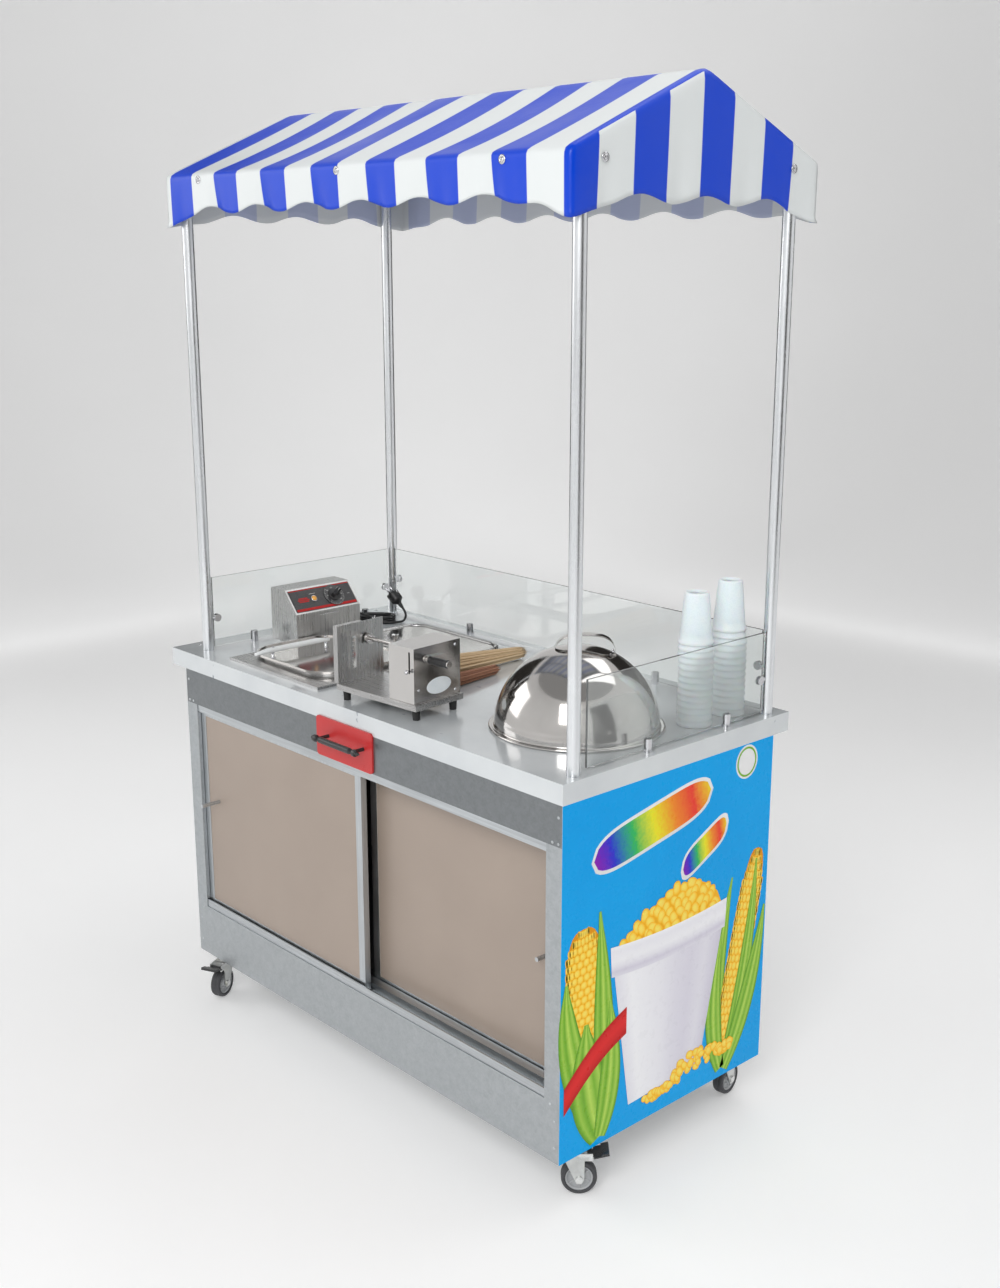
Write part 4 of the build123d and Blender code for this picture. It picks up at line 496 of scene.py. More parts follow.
class Build:
    """Collects vertices and faces of several parts into one mesh."""

    def __init__(self):
        self.verts = []
        self.faces = []

    def add(self, verts, faces):
        base = len(self.verts)
        self.verts.extend(Vector(v) for v in verts)
        self.faces.extend([tuple(base + i for i in f) for f in faces])
        return base

    def lathe(self, profile, start, axis, count=48, closed=False):
        """Revolves (radius, height) pairs about an axis from a point; mm in, metres out."""
        axis = Vector(axis).normalized()
        side = axis.orthogonal().normalized()
        other = axis.cross(side)
        verts = []
        for radius, height in profile:
            for k in range(count):
                a = 2 * math.pi * k / count
                out = side * math.cos(a) + other * math.sin(a)
                verts.append(Vector(start) + (out * radius + axis * height) * MM)
        faces = []
        rings = len(profile) if closed else len(profile) - 1
        for r in range(rings):
            for k in range(count):
                n, s = (k + 1) % count, (r + 1) % len(profile)
                faces.append((r * count + k, r * count + n, s * count + n, s * count + k))
        return self.add(verts, faces)

    def tube(self, points, radius, count=12, taper=None):
        """A round tube through points in metres; radius in mm, or one radius per point."""
        points = [Vector(p) for p in points]
        radii = taper or [radius] * len(points)
        verts, faces = [], []
        side = None
        for i, here in enumerate(points):
            ahead = points[min(i + 1, len(points) - 1)] - points[max(i - 1, 0)]
            ahead.normalize()
            side = ahead.orthogonal() if side is None else side - ahead * side.dot(ahead)
            side.normalize()
            other = ahead.cross(side)
            for k in range(count):
                a = 2 * math.pi * k / count
                verts.append(here + (side * math.cos(a) + other * math.sin(a)) * radii[i] * MM)
        for i in range(len(points) - 1):
            for k in range(count):
                n = (k + 1) % count
                faces.append((i * count + k, i * count + n, (i + 1) * count + n, (i + 1) * count + k))
        faces.append(tuple(reversed(range(count))))
        last = (len(points) - 1) * count
        faces.append(tuple(range(last, last + count)))
        return self.add(verts, faces)

    def make(self, name, material, **rest):
        return piece(name, self.verts, self.faces, material, **rest)


def applied(obj):
    """Turns a piece's modifiers into plain mesh."""
    depsgraph = bpy.context.evaluated_depsgraph_get()
    mesh = bpy.data.meshes.new_from_object(obj.evaluated_get(depsgraph))
    obj.modifiers.clear()
    obj.data = mesh
    return obj


# ---------------------------------------------------------------- power cord
CORD_D = 6.0
HANK = (-551.5, 213.5)
HANK_TURN = 45.0
HANK_LONG = 40.0
HANK_HALF = 22.0
HANK_ROW_OUT = 3.1             # rows of turns either side of the hank's middle line
HANK_PITCH = 6.3               # one layer of turns above the next
HANK_BED = 3.5                 # lowest turns above the worktop
WORKTOP_Z = 860.0
GLAND = (-562.8, 124.0, 898.0)
PLUG_TAIL = (-523.0, 272.0, 893.0)
PLUG_AXIS = Vector((-0.64, -0.21, 0.74)).normalized()


def in_hank(along, across, z):
    """Point of the hank from its own long and short axes."""
    a = math.radians(HANK_TURN)
    return at(HANK[0] + along * math.cos(a) - across * math.sin(a),
              HANK[1] + along * math.sin(a) + across * math.cos(a), z)


def hank_points():
    """Control points of the turns: twelve or more a turn, each turn in a row of its own."""
    low, pitch = WORKTOP_Z + HANK_BED, HANK_PITCH
    rows = ((HANK_ROW_OUT, 2), (-HANK_ROW_OUT, 2), (-HANK_ROW_OUT, 1), (-HANK_ROW_OUT, 0),
            (HANK_ROW_OUT, 0), (HANK_ROW_OUT, 1))
    straight = HANK_LONG - HANK_HALF
    points = []
    for out, layer in rows:
        radius = (HANK_HALF + out) * 1.05
        z = low + layer * pitch
        for share in (-0.15, 0.75):
            points.append(in_hank(straight * share, -HANK_HALF - out, z))
        for k in range(1, 5):
            a = -math.pi / 2 + math.pi * k / 5
            points.append(in_hank(straight + radius * math.cos(a), radius * math.sin(a), z))
        for share in (0.75, -0.75):
            points.append(in_hank(straight * share, HANK_HALF + out, z))
        for k in range(1, 5):
            a = math.pi / 2 + math.pi * k / 5
            points.append(in_hank(-straight + radius * math.cos(a), radius * math.sin(a), z))
    return points


def nurbs(name, points, radius, material):
    data = bpy.data.curves.new(name, "CURVE")
    data.dimensions = "3D"
    data.bevel_depth = radius * MM
    data.bevel_resolution = 5
    data.resolution_u = 10
    data.use_fill_caps = True
    spline = data.splines.new("NURBS")
    spline.points.add(len(points) - 1)
    for point, place in zip(spline.points, points):
        point.co = (*place, 1.0)
    spline.order_u = 3
    spline.use_endpoint_u = True
    data.materials.append(material)
    obj = bpy.data.objects.new(name, data)
    bpy.context.scene.collection.objects.link(obj)
    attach(obj, ROOT)
    return obj


def power_cord():
    gx, gy, gz = GLAND
    lead = [at(gx, gy, gz), at(gx, gy + 20, gz), at(gx + 3, gy + 44, gz - 10)]
    run = [at(-506.0, 220.0, 865.0), at(-502.5, 240.0, 863.6), at(-502.5, 261.8, 863.6),
           at(-511.5, 275.8, 879.7), at(*PLUG_TAIL)]
    flex = nurbs("supply_cord", lead + hank_points() + run, CORD_D / 2, CORD)
    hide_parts("power_cord", "cord_hank")

    relief = Build()
    relief.lathe([(0, -4), (7.2, -4), (7.2, 0), (6.4, 1), (6.4, 4), (5.4, 5), (6.0, 6), (6.0, 9),
                  (4.9, 10), (5.5, 11), (5.5, 14), (4.4, 15), (4.9, 16), (4.9, 19), (4.0, 20),
                  (3.7, 24), (3.4, 24.5), (0, 24.5)], at(gx, gy, gz), (0, 1, 0), 24)
    relief = relief.make("cord_strain_relief", CORD, slot="cord_rubber")

    tie = Build()
    loops = []
    for k in range(25):
        a = 2 * math.pi * k / 24
        loops.append(in_hank(-4, -HANK_HALF + 9.2 * math.cos(a), WORKTOP_Z + 10.6 + 10.4 * math.sin(a)))
    tie.tube(loops, 1.2, 8)
    tie.tube([in_hank(-4, -HANK_HALF - 6, 871), in_hank(-9, -HANK_HALF - 13, 880),
              in_hank(-3, -HANK_HALF - 19, 878)], 1.1, 8)
    tie = tie.make("cord_tie", TIE, slot="white_plastic")

    plug = Build()
    tail = at(*PLUG_TAIL)
    plug.lathe([(0, 0), (3.4, 0), (4.2, 1), (4.2, 3), (3.6, 4), (4.8, 5), (4.8, 7), (4.0, 8),
                (5.4, 9), (5.4, 11), (4.8, 12), (6.4, 14), (9.0, 17), (14.0, 20), (15.6, 23),
                (15.9, 27), (15.4, 30), (15.9, 33), (15.4, 36), (16.0, 40), (16.0, 45.4),
                (15.4, 46), (0, 46)], tail, PLUG_AXIS, 40)
    plug = plug.make("supply_plug", CORD, slot="cord_rubber", replaces=("power_plug",))
    pins = Build()
    across = PLUG_AXIS.cross(Vector((0, 0, 1))).normalized()
    for side in (-1, 1):
        foot = tail + (PLUG_AXIS * 45.5 + across * side * 9.5) * MM
        pins.lathe([(0, 0), (2.4, 0), (2.4, 17.2), (1.9, 18.6), (0, 19.2)], foot, PLUG_AXIS, 16)
    up = PLUG_AXIS.cross(across).normalized()
    for side in (-1, 1):
        edge = tail + (PLUG_AXIS * 36 + up * side * 15.6) * MM
        pins.tube([edge, edge + PLUG_AXIS * 9.6 * MM], 1.3, 8)
    pins = pins.make("plug_pins", NICKEL, slot="nickel")


power_cord()


# ---------------------------------------------------------------- canopy
cover_low, cover_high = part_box("canopy_cover")
EAVE_DROP = 108.0
CLOTH_T = 1.0
SCALLOP_DEEP = 8.0
VALANCE_SHORT = 33.0
SMOOTHING_PASSES = 3
FRAME_LINES = (-600.0, 0.0, 600.0)


def valance_hem(run, length, lower):
    """How far the hem stands above the lowest corner, along one side of the canopy."""
    corner = min(run, length - run)
    middle = 1.0 - math.exp(-(corner / 75.0) ** 2)
    wave = math.cos(2 * math.pi * run / STRIPE_PITCH)
    return middle * (VALANCE_SHORT - lower + SCALLOP_DEEP * wave)


def canopy():
    x0, x1 = cover_low.x, cover_high.x
    y0, y1 = cover_low.y, cover_high.y
    bottom, top = cover_low.z, cover_high.z
    eave = bottom + EAVE_DROP * MM
    long_n, slope_n, drop_n = 150, 26, 14
    length, depth = (x1 - x0) / MM, (y1 - y0) / MM
    xs = [x0 + (x1 - x0) * i / long_n for i in range(long_n + 1)]

    def flutter(run, share, phase):
        """Soft in and out waves of a valance, free at its hem and held at the eave."""
        return (4.2 * math.sin(2 * math.pi * run / STRIPE_PITCH + phase)
                + 2.0 * math.sin(2 * math.pi * run / 61.0 + phase * 2)) * share ** 1.5

    def sag(x, share):
        """Droop of the roof between the rafters, none on the eave, ridge or rafters."""
        mm = (x - MIDDLE.x) / MM
        span = FRAME_LINES[1] - FRAME_LINES[0]
        u = abs(mm) % span / span
        return 9.0 * math.sin(math.pi * u) ** 1.2 * math.sin(math.pi * share) ** 0.8

    build = Build()
    grid, order = {}, []

    def vert(key, place):
        if key not in grid:
            grid[key] = len(build.verts)
            build.verts.append(Vector(place))
        return grid[key]

    # stations round the section: front hem, eave, ridge, eave, back hem
    stations = ([("f", k) for k in range(drop_n)] + [("r", k) for k in range(2 * slope_n + 1)]
                + [("b", k) for k in range(drop_n - 1, -1, -1)])

    def section_point(station, x):
        kind, k = station
        run = (x - x0) / MM
        if kind == "r":
            share = k / slope_n if k <= slope_n else 2 - k / slope_n
            y = y0 + (y1 - y0) * k / (2 * slope_n)
            z = eave + (top - eave) * share - sag(x, share) * MM
            return Vector((x, y, z))
        front = kind == "f"
        share = 1 - k / drop_n
        lift = valance_hem(run, length, 0.0 if front else 13.0)
        z = eave + (bottom + lift * MM - eave) * share
        corner = min(1.0, min(run, length - run) / 60.0)
        push = flutter(run, share, 0.4 if front else 2.1) * corner * MM
        inset = 3.5 * MM * corner * share
        y = y0 + inset + abs(push) * 0.5 + push * 0.5 if front else y1 - inset - abs(push) * 0.5 + push * 0.5
        return Vector((x, y, z))

    for station in stations:
        for i, x in enumerate(xs):
            vert((station, i), section_point(station, x))
    for a, b in zip(stations, stations[1:]):
        for i in range(long_n):
            build.faces.append((grid[a, i], grid[a, i + 1], grid[b, i + 1], grid[b, i]))
            order.append(0)

    # gables: columns under each roof station; the end columns are the valances' own edges
    roof = [("r", k) for k in range(2 * slope_n + 1)]
    for i, x, out in ((0, x0, -1), (long_n, x1, 1)):
        columns = []
        for station in roof:
            k = station[1]
            head = build.verts[grid[station, i]]
            run = (head.y - y0) / MM
            if k in (0, 2 * slope_n):
                side = "f" if k == 0 else "b"
                columns.append([grid[station, i]] + [grid[(side, n), i]
                                                     for n in range(drop_n - 1, -1, -1)])
                continue
            lift = valance_hem(run, depth, 0.0 if out > 0 else 13.0)
            column = [grid[station, i]]
            for n in range(1, drop_n + 1):
                share = n / drop_n
                z = head.z + (bottom + lift * MM - head.z) * share
                corner = min(1.0, min(run, depth - run) / 60.0)
                push = flutter(run, share, 1.2) * corner
                inset = (3.0 * share * corner + abs(push) * 0.5 - push * 0.5) * MM
                column.append(vert(("g", i, k, n), Vector((x - out * inset, head.y, z))))
            columns.append(column)
        for a, b in zip(columns, columns[1:]):
            for n in range(drop_n):
                face = (a[n], b[n], b[n + 1], a[n + 1])
                build.faces.append(face if out > 0 else tuple(reversed(face)))
                order.append(1)

    cloth = piece("canopy_sheet", build.verts, build.faces,
                  canopy_cloth("awning_long", "X", STRIPE_LONG_CENTRE, False),
                  extra=(canopy_cloth("awning_gable", "Y", STRIPE_GABLE_CENTRE, False),
                         canopy_cloth("awning_long_inside", "X", STRIPE_LONG_CENTRE, True),
                         canopy_cloth("awning_gable_inside", "Y", STRIPE_GABLE_CENTRE, True)),
                  slot="canopy_cloth", replaces=("canopy_cover",))
    for face, index in zip(cloth.data.polygons, order):
        face.material_index = index
    bm = bmesh.new()
    bm.from_mesh(cloth.data)
    bmesh.ops.recalc_face_normals(bm, faces=bm.faces)
    high = max(bm.faces, key=lambda f: f.calc_center_median().z)
    if high.normal.z < 0:
        bmesh.ops.reverse_faces(bm, faces=bm.faces)
    for _ in range(SMOOTHING_PASSES):
        edge = [v for v in bm.verts if not v.is_boundary]
        bmesh.ops.smooth_vert(bm, verts=edge, factor=0.5, use_axis_x=True, use_axis_y=True,
                              use_axis_z=True)
    bm.to_mesh(cloth.data)
    bm.free()
    thick = cloth.modifiers.new("thickness", "SOLIDIFY")
    thick.thickness = CLOTH_T * MM
    thick.offset = -1
    thick.material_offset = 2
    applied(cloth)
    cloth.data.shade_smooth()


canopy()


# ---------------------------------------------------------------- casters
CASTER_TURNS = {"fl": -65.0, "fr": 47.0, "bl": 100.0, "br": 98.0}


def casters():
    tyre_profile = [(27, -11.5), (31.5, -12), (33.8, -10.8), (34.9, -8.2), (35, -3.2), (34.2, -2.6),
                    (35, -2.0), (35, 2.0), (34.2, 2.6), (35, 3.2), (34.9, 8.2), (33.8, 10.8),
                    (31.5, 12), (27, 11.5)]
    hub_profile = [(5.2, -10), (8.6, -10), (9.6, -9.2), (10.2, -6.0), (12.5, -5.0), (21, -4.6),
                   (23.2, -6.4), (24.2, -9.4), (26.9, -10), (26.9, 10), (24.2, 9.4), (23.2, 6.4),
                   (21, 4.6), (12.5, 5.0), (10.2, 6.0), (9.6, 9.2), (8.6, 10), (5.2, 10)]
    for key, turn in CASTER_TURNS.items():
        a = math.radians(turn)
        axis = Vector((-math.sin(a), math.cos(a), 0))
        heart = centre(f"caster_{key}_wheel")
        body = f"wheel_{key}"
        tyre = Build()
        tyre.lathe(tyre_profile, heart, axis, 72, closed=True)
        tyre.make(f"tyre_{key}", TYRE, body=body, slot="tyre", replaces=(f"caster_{key}_wheel",))
        hub = Build()
        hub.lathe(hub_profile, heart, axis, 48, closed=True)
        side = axis.orthogonal().normalized()
        other = axis.cross(side)
        for k in range(6):
            b = 2 * math.pi * k / 6
            out = side * math.cos(b) + other * math.sin(b)
            for face in (-1, 1):
                hub.tube([heart + (out * 11 + axis * face * 4.4) * MM,
                          heart + (out * 22.5 + axis * face * 5.2) * MM], 1.6, 8)
        hub.make(f"hub_{key}", HUB, body=body, slot="tyre")
        fork = Build()
        for face in (-1, 1):
            fork.lathe([(0, 5.6), (2.2, 5.6), (2.8, 5.0), (6.6, 4.8), (7.2, 4.0), (7.2, 2.6)],
                       heart + axis * face * 11.6 * MM, axis * face, 6)
        fork.make(f"axle_nuts_{key}", NICKEL, body=f"fork_{key}", slot="zinc_steel", smooth=False)


# ---------------------------------------------------------------- cloche
def cloche():
    low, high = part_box("cloche_dome")
    heart = Vector(((low.x + high.x) / 2, (low.y + high.y) / 2, low.z))
    rim, radius = (high.x - low.x) / 2 / MM, 162.0
    band_top, height = 21.0, (high.z - low.z) / MM
    rise = height - band_top
    ball = (radius ** 2 + rise ** 2) / (2 * rise)
    profile = [(radius - 1.5, 0.2), (rim - 1.5, 0.0), (rim - 0.3, 1.0), (rim, 2.4), (rim - 0.4, 4.0),
               (rim - 2.0, 5.0), (rim - 6.0, 4.6), (rim - 8.5, 3.6), (radius + 1.2, 4.4),
               (radius + 0.2, 6.0), (radius, 8.0), (radius, band_top - 2), (radius - 0.6, band_top)]
    steps = 40
    start = math.atan2(radius, ball - rise)
    for k in range(1, steps):
        a = start * (1 - k / steps)
        profile.append((ball * math.sin(a), height - ball + ball * math.cos(a)))
    profile.append((0.01, height))
    inner = [(max(r - 1.4, 0.01), h - (1.4 if h > band_top else 0)) for r, h in reversed(profile[9:])]
    dome = Build()
    dome.lathe(profile + inner, heart, (0, 0, 1), 128, closed=False)
    dome.make("cloche_shell", MIRROR, body="cloche", slot="polished_steel", replaces=("cloche_dome",))

    # strap handle: a bent band with rolled edges and riveted feet
    low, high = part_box("cloche_handle")
    turn = math.radians(47)
    along = Vector((math.cos(turn), math.sin(turn), 0))
    across = Vector((-math.sin(turn), math.cos(turn), 0))
    mid = Vector(((low.x + high.x) / 2, (low.y + high.y) / 2, 0))
    top = high.z
    span, drop, wide = 60.0, (high.z - low.z) / MM - 1.0, 12.3
    verts, faces = [], []
    n, ring = 36, 8
    for i in range(n + 1):
        u = -1 + 2 * i / n
        z = top - (drop * abs(u) ** 2.6) * MM
        x = span * math.sin(u * math.pi / 2)
        for y, lift in ((-wide, -1.6), (-wide, -0.4), (-wide + 1.5, 0), (wide - 1.5, 0), (wide, -0.4),
                        (wide, -1.6), (wide - 1.8, -2.4), (-wide + 1.8, -2.4)):
            verts.append(mid + along * x * MM + across * y * MM
                         + Vector((0, 0, z + lift * MM)))
    for i in range(n):
        for k in range(ring):
            m = (k + 1) % ring
            faces.append((i * ring + k, i * ring + m, (i + 1) * ring + m, (i + 1) * ring + k))
    faces.append(tuple(range(ring)))
    faces.append(tuple(reversed(range(n * ring, n * ring + ring))))
    piece("cloche_strap", verts, faces, MIRROR, body="cloche", slot="polished_steel",
          replaces=("cloche_handle",))
    rivets = Build()
    for side in (-1, 1):
        for off in (-6, 6):
            spot = mid + along * side * (span - 5) * MM + across * off * MM
            spot.z = top - (drop * 0.80 + 1.0) * MM
            lean = (Vector((0, 0, 1)) + along * side * 0.75).normalized()
            rivets.lathe([(0, 1.8), (1.4, 1.5), (2.5, 0.6), (2.8, -0.6), (2.8, -2)], spot, lean, 16)
    rivets.make("cloche_rivets", NICKEL, body="cloche", slot="polished_steel")


# ---------------------------------------------------------------- cups
CUP_COUNT = 14
CUP_PITCH = {"front": 12.7, "back": 13.3}


def cups():
    for key, pitch in CUP_PITCH.items():
        low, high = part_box(f"cup_stack_{key}")
        heart = Vector(((low.x + high.x) / 2, (low.y + high.y) / 2, low.z))
        tall = (high.z - low.z) / MM - pitch * (CUP_COUNT - 1)
        rim = (high.x - low.x) / 2 / MM
        base = 24.0
        stack = Build()
        wall = 1.1
        outer = [(rim - 2.2, 0.4), (rim - 1.0, 0.0), (rim - 0.2, 0.8), (rim, 2.4), (rim - 0.1, 4.8),
                 (rim - 0.7, 6.2), (rim - 1.7, 7.0)]
        slope = (rim - 2.0 - base) / tall
        for share in (0.2, 0.5, 0.8):
            outer.append((rim - 1.8 - slope * tall * share, tall * share))
        outer += [(base + 0.3, tall - 4.5), (base - 0.2, tall - 2.0), (base - 1.6, tall - 0.4),
                  (base - 3.4, tall), (base - 4.6, tall - 0.5), (base - 5.4, tall - 1.3),
                  (0.01, tall - 1.4)]
        inner = [(0.01, tall - 2.6), (base - 4.0, tall - 2.6), (base - wall, tall - 4.5),
                 (rim - 2.6 - wall, 5.0), (rim - 2.2, 0.4)]
        for i in range(CUP_COUNT):
            lean = 0.22 * math.sin(i * 2.4)
            foot = heart + Vector((lean, 0.22 * math.cos(i * 1.7), i * pitch)) * MM
            stack.lathe(outer + inner, foot, (0, 0, 1), 56)
        stack.make(f"cup_pile_{key}", FOAM, body=f"cups_{key}", slot="cup_paper",
                   replaces=(f"cup_stack_{key}",))


# ---------------------------------------------------------------- skewers
def sticks(name, start, turn, length, wide, narrow, count, thick, material):
    """A bundle of pointed sticks filling a tapered cone that lies on the worktop."""
    rng = random.Random(7)
    drop = math.atan2(wide - narrow, length)
    a = math.radians(turn)
    axis = Vector((math.cos(drop) * math.cos(a), math.cos(drop) * math.sin(a), -math.sin(drop)))
    side = Vector((-math.sin(a), math.cos(a), 0))
    up = axis.cross(side)
    up = up if up.z > 0 else -up
    origin = at(start[0], start[1], WORKTOP_Z + 0.3 + wide * math.cos(drop))
    build, tones = Build(), []
    for k in range(count):
        share = math.sqrt((k + 0.5) / count)
        angle = k * math.pi * (3 - math.sqrt(5))
        spread = share * (wide - thick - 0.2)
        close = share * (narrow - thick * 0.8)
        off = side * math.cos(angle) + up * math.sin(angle)
        twist = angle + rng.uniform(-0.12, 0.12)
        off_far = side * math.cos(twist) + up * math.sin(twist)
        back = rng.uniform(0.5, 7.0)
        head = origin + (axis * back + off * spread) * MM
        tip = origin + (axis * (length - rng.uniform(0.5, 9.0)) + off_far * close) * MM
        radius = thick * rng.uniform(0.85, 1.0)
        near_tip = head.lerp(tip, 0.93)
        count_before = len(build.verts)
        build.tube([head, head.lerp(tip, 0.02), near_tip, tip], radius, 7,
                   taper=[radius * 0.9, radius, radius * 0.8, 0.25])
        tones += [rng.random()] * (len(build.verts) - count_before)
    obj = build.make(name, material, body="skewers", slot="skewer_wood")
    tone = obj.data.attributes.new("stick", "FLOAT", "POINT")
    tone.data.foreach_set("value", tones)
    return obj


def skewers():
    light = wood_sticks("bamboo_light", (0.50, 0.33, 0.17), (0.80, 0.62, 0.40), "y")
    dark = wood_sticks("bamboo_dark", (0.20, 0.08, 0.04), (0.42, 0.20, 0.12), "y")
    long_bundle = sticks("skewers_long", (-30.0, -54.0), 93.0, 300.0, 30.0, 14.0, 95, 2.7, light)
    sticks("skewers_short", (34.0, -60.0), 97.0, 170.0, 16.0, 11.0, 46, 2.1, dark)
    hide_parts("skewer_bundles")


# ---------------------------------------------------------------- fryer head details
HEAD_FRONT_Y = -75.0
SLOPE_MID = (-513.0, 960.0)
SLOPE_N = Vector((52.0, 0.0, 46.0)).normalized()
SLOPE_UP = Vector((-46.0, 0.0, 52.0)).normalized()


def on_slope(along, up, out):
    """Point on the control panel: along from its left end, up from its middle, out from the sheet."""
    return at(SLOPE_MID[0], HEAD_FRONT_Y + along, SLOPE_MID[1]) + (SLOPE_UP * up + SLOPE_N * out) * MM


def slope_strip(build, a0, a1, u0, u1, out, corners=((0, 0), (1, 0), (1, 1), (0, 1))):
    verts = [on_slope(a0 + (a1 - a0) * i, u0 + (u1 - u0) * j, out) for i, j in corners]
    build.add(verts, [tuple(range(len(verts)))])


def fryer_face():
    red = ink("panel_red", ((0.0, (0.50, 0.01, 0.01)), (1.0, (0.62, 0.03, 0.02))))
    pale = ink("panel_pale", ((0.0, (0.62, 0.62, 0.60)), (1.0, (0.75, 0.75, 0.72))))
    bands = Build()
    slope_strip(bands, 6, 181, 26.5, 29.0, 1.62)
    slope_strip(bands, 6, 181, -29.0, -22.5, 1.62)
    for row, (a0, a1) in enumerate(((24, 50), (20, 54), (23, 51))):
        slope_strip(bands, a0, a1, 3.0 - row * 4.4, 6.2 - row * 4.4, 1.62)
    bands.make("panel_bands", red, slot="black_plastic", smooth=False)

    marks = Build()
    knob_a = 126.0
    for k in range(28):
        a = math.radians(-225 + 270 * k / 27)
        long = k % 3 == 0
        r0, r1 = (22.6 if long else 24.6), 27.0
        way = Vector((math.cos(a), math.sin(a)))
        across = Vector((-way.y, way.x)) * 0.35
        corners = [way * r0 - across, way * r1 - across, way * r1 + across, way * r0 + across]
        marks.add([on_slope(knob_a + c.x, c.y, 3.1) for c in corners], [(0, 1, 2, 3)])
    slope_strip(marks, 58, 76, 13.4, 14.4, 1.62)
    slope_strip(marks, 165, 172, -2.0, -1.2, 1.62)
    marks.make("dial_ticks", pale, slot="white_plastic", smooth=False)

    numbers = []
    for k, text in enumerate(("0", "60", "90", "120", "150", "180", "200")):
        a = math.radians(225 - 270 * k / 6)
        data = bpy.data.curves.new(f"dial_number_{k}", "FONT")
        data.body = text
        data.size = 4.6 * MM
        data.align_x = "CENTER"
        data.align_y = "CENTER"
        data.extrude = 0.05 * MM
        obj = bpy.data.objects.new(f"dial_number_{k}", data)
        basis = Matrix((Vector((0, 1, 0)), SLOPE_UP, SLOPE_N)).transposed().to_4x4()
        spot = on_slope(knob_a + 19.6 * math.cos(a), 19.6 * math.sin(a), 3.15)
        obj.matrix_world = Matrix.Translation(spot) @ basis
        bpy.context.scene.collection.objects.link(obj)
        bpy.context.view_layer.update()
        mesh = bpy.data.meshes.new_from_object(obj.evaluated_get(bpy.context.evaluated_depsgraph_get()))
        mesh.transform(obj.matrix_world)
        numbers.append(mesh)
        bpy.data.objects.remove(obj)
    build = Build()
    for mesh in numbers:
        build.add([v.co for v in mesh.vertices], [tuple(f.vertices) for f in mesh.polygons])
    build.make("dial_numbers", pale, slot="white_plastic", smooth=False)

    # knob: a fluted skirt with a finger bar
    base = on_slope(knob_a, 0, 3.4)
    knob = Build()
    knob.lathe([(3, 0), (15.4, 0), (15.9, 0.6), (15.4, 3.0), (14.4, 3.8), (0.01, 4.2)], base, SLOPE_N, 60)
    side = Vector((0, 1, 0)) * math.cos(0.5) + SLOPE_UP * math.sin(0.5)
    other = SLOPE_N.cross(side)
    rows = []
    outline = [(-1, 0.42), (-0.8, 0.62), (-0.3, 0.46), (0.3, 0.46), (0.8, 0.62), (1, 0.42),
               (1, -0.42), (0.8, -0.62), (0.3, -0.46), (-0.3, -0.46), (-0.8, -0.62), (-1, -0.42)]
    for grow, rise in ((1.0, 3.6), (1.0, 14.5), (0.94, 16.6), (0.84, 17.7)):
        rows.append([base + (side * x * 13.6 * grow + other * y * 9.0 * grow + SLOPE_N * rise) * MM
                     for x, y in outline])
    n = len(outline)
    verts = [v for row in rows for v in row]
    faces = [(r * n + k, r * n + (k + 1) % n, (r + 1) * n + (k + 1) % n, (r + 1) * n + k)
             for r in range(len(rows) - 1) for k in range(n)]
    faces.append(tuple(range((len(rows) - 1) * n, len(rows) * n)))
    knob.add(verts, faces)
    knob = knob.make("thermostat_knob", BLACK, body="fryer_knob", slot="black_plastic",
                     replaces=("fryer_knob",))
    pointer = Build()
    for x0, x1 in ((4.0, 12.0),):
        pointer.add([base + (side * x + other * y + SLOPE_N * 17.85) * MM
                     for x, y in ((x0, -0.5), (x1, -0.5), (x1, 0.5), (x0, 0.5))], [(0, 1, 2, 3)])
    pointer.make("knob_pointer", pale, body="fryer_knob", slot="white_plastic", smooth=False)

    bezel = Build()
    lamp = on_slope(67.0, 0, 1.5)
    bezel.lathe([(6.3, 0), (8.2, 0), (8.2, 1.4), (7.4, 2.2), (6.3, 2.2)], lamp, SLOPE_N, 40, closed=True)
    bezel.make("lamp_bezel", NICKEL, slot="nickel")
    lens = Build()
    lens.lathe([(6.2, 0), (6.2, 2.6), (5.4, 4.0), (3.4, 4.9), (0.01, 5.2)], lamp, SLOPE_N, 40)
    lens.make("lamp_lens", AMBER, slot="amber_lamp", replaces=("fryer_lamp",))

    slot = Build()
    slot_at = at(-489.4, HEAD_FRONT_Y + 96, 925)
    slot.add([slot_at + Vector((0.1 * MM, y * MM, z * MM)) for y, z in
              ((-26, -1.2), (26, -1.2), (26, 1.2), (-26, 1.2))], [(0, 1, 2, 3)])
    slot.make("head_fold_line", NICKEL, slot="stainless", smooth=False)


def lid_handle():
    low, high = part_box("fryer_lid_handle")
    x, z = (low.x + high.x) / 2, high.z - 6.5 * MM
    points, radii = [], []
    n = 24
    for k in range(n + 1):
        y = low.y + (high.y - low.y) * k / n
        end = min(k, n - k) / 4
        radii.append(6.4 * min(1.0, 0.55 + 0.45 * end))
        points.append(Vector((x, y, z - 3.2 * MM * max(0.0, 1 - end))))
    bar = Build()
    bar.tube(points, 6.4, 24, taper=radii)
    bar.make("lid_tube", WHITE_TUBE, body="fryer_lid", slot="white_plastic",
             replaces=("fryer_lid_handle",))
    posts = Build()
    lid_top = low.z
    for share in (0.23, 0.95):
        y = low.y + (high.y - low.y) * share
        foot = Vector((x, y, lid_top))
        posts.lathe([(0, 0), (6.5, 0), (6.5, 1.2), (4.2, 1.4), (3.6, 3), (3.6, 13.6), (0, 13.6)], foot,
                    (0, 0, 1), 20)
        posts.lathe([(0, 0), (4.2, 0), (3.8, 1.6), (2.2, 2.4), (0.01, 2.6)],
                    Vector((x, y, z + 5.6 * MM)), (0, 0, 1), 16)
    posts.make("lid_tube_bolts", NICKEL, body="fryer_lid", slot="nickel")


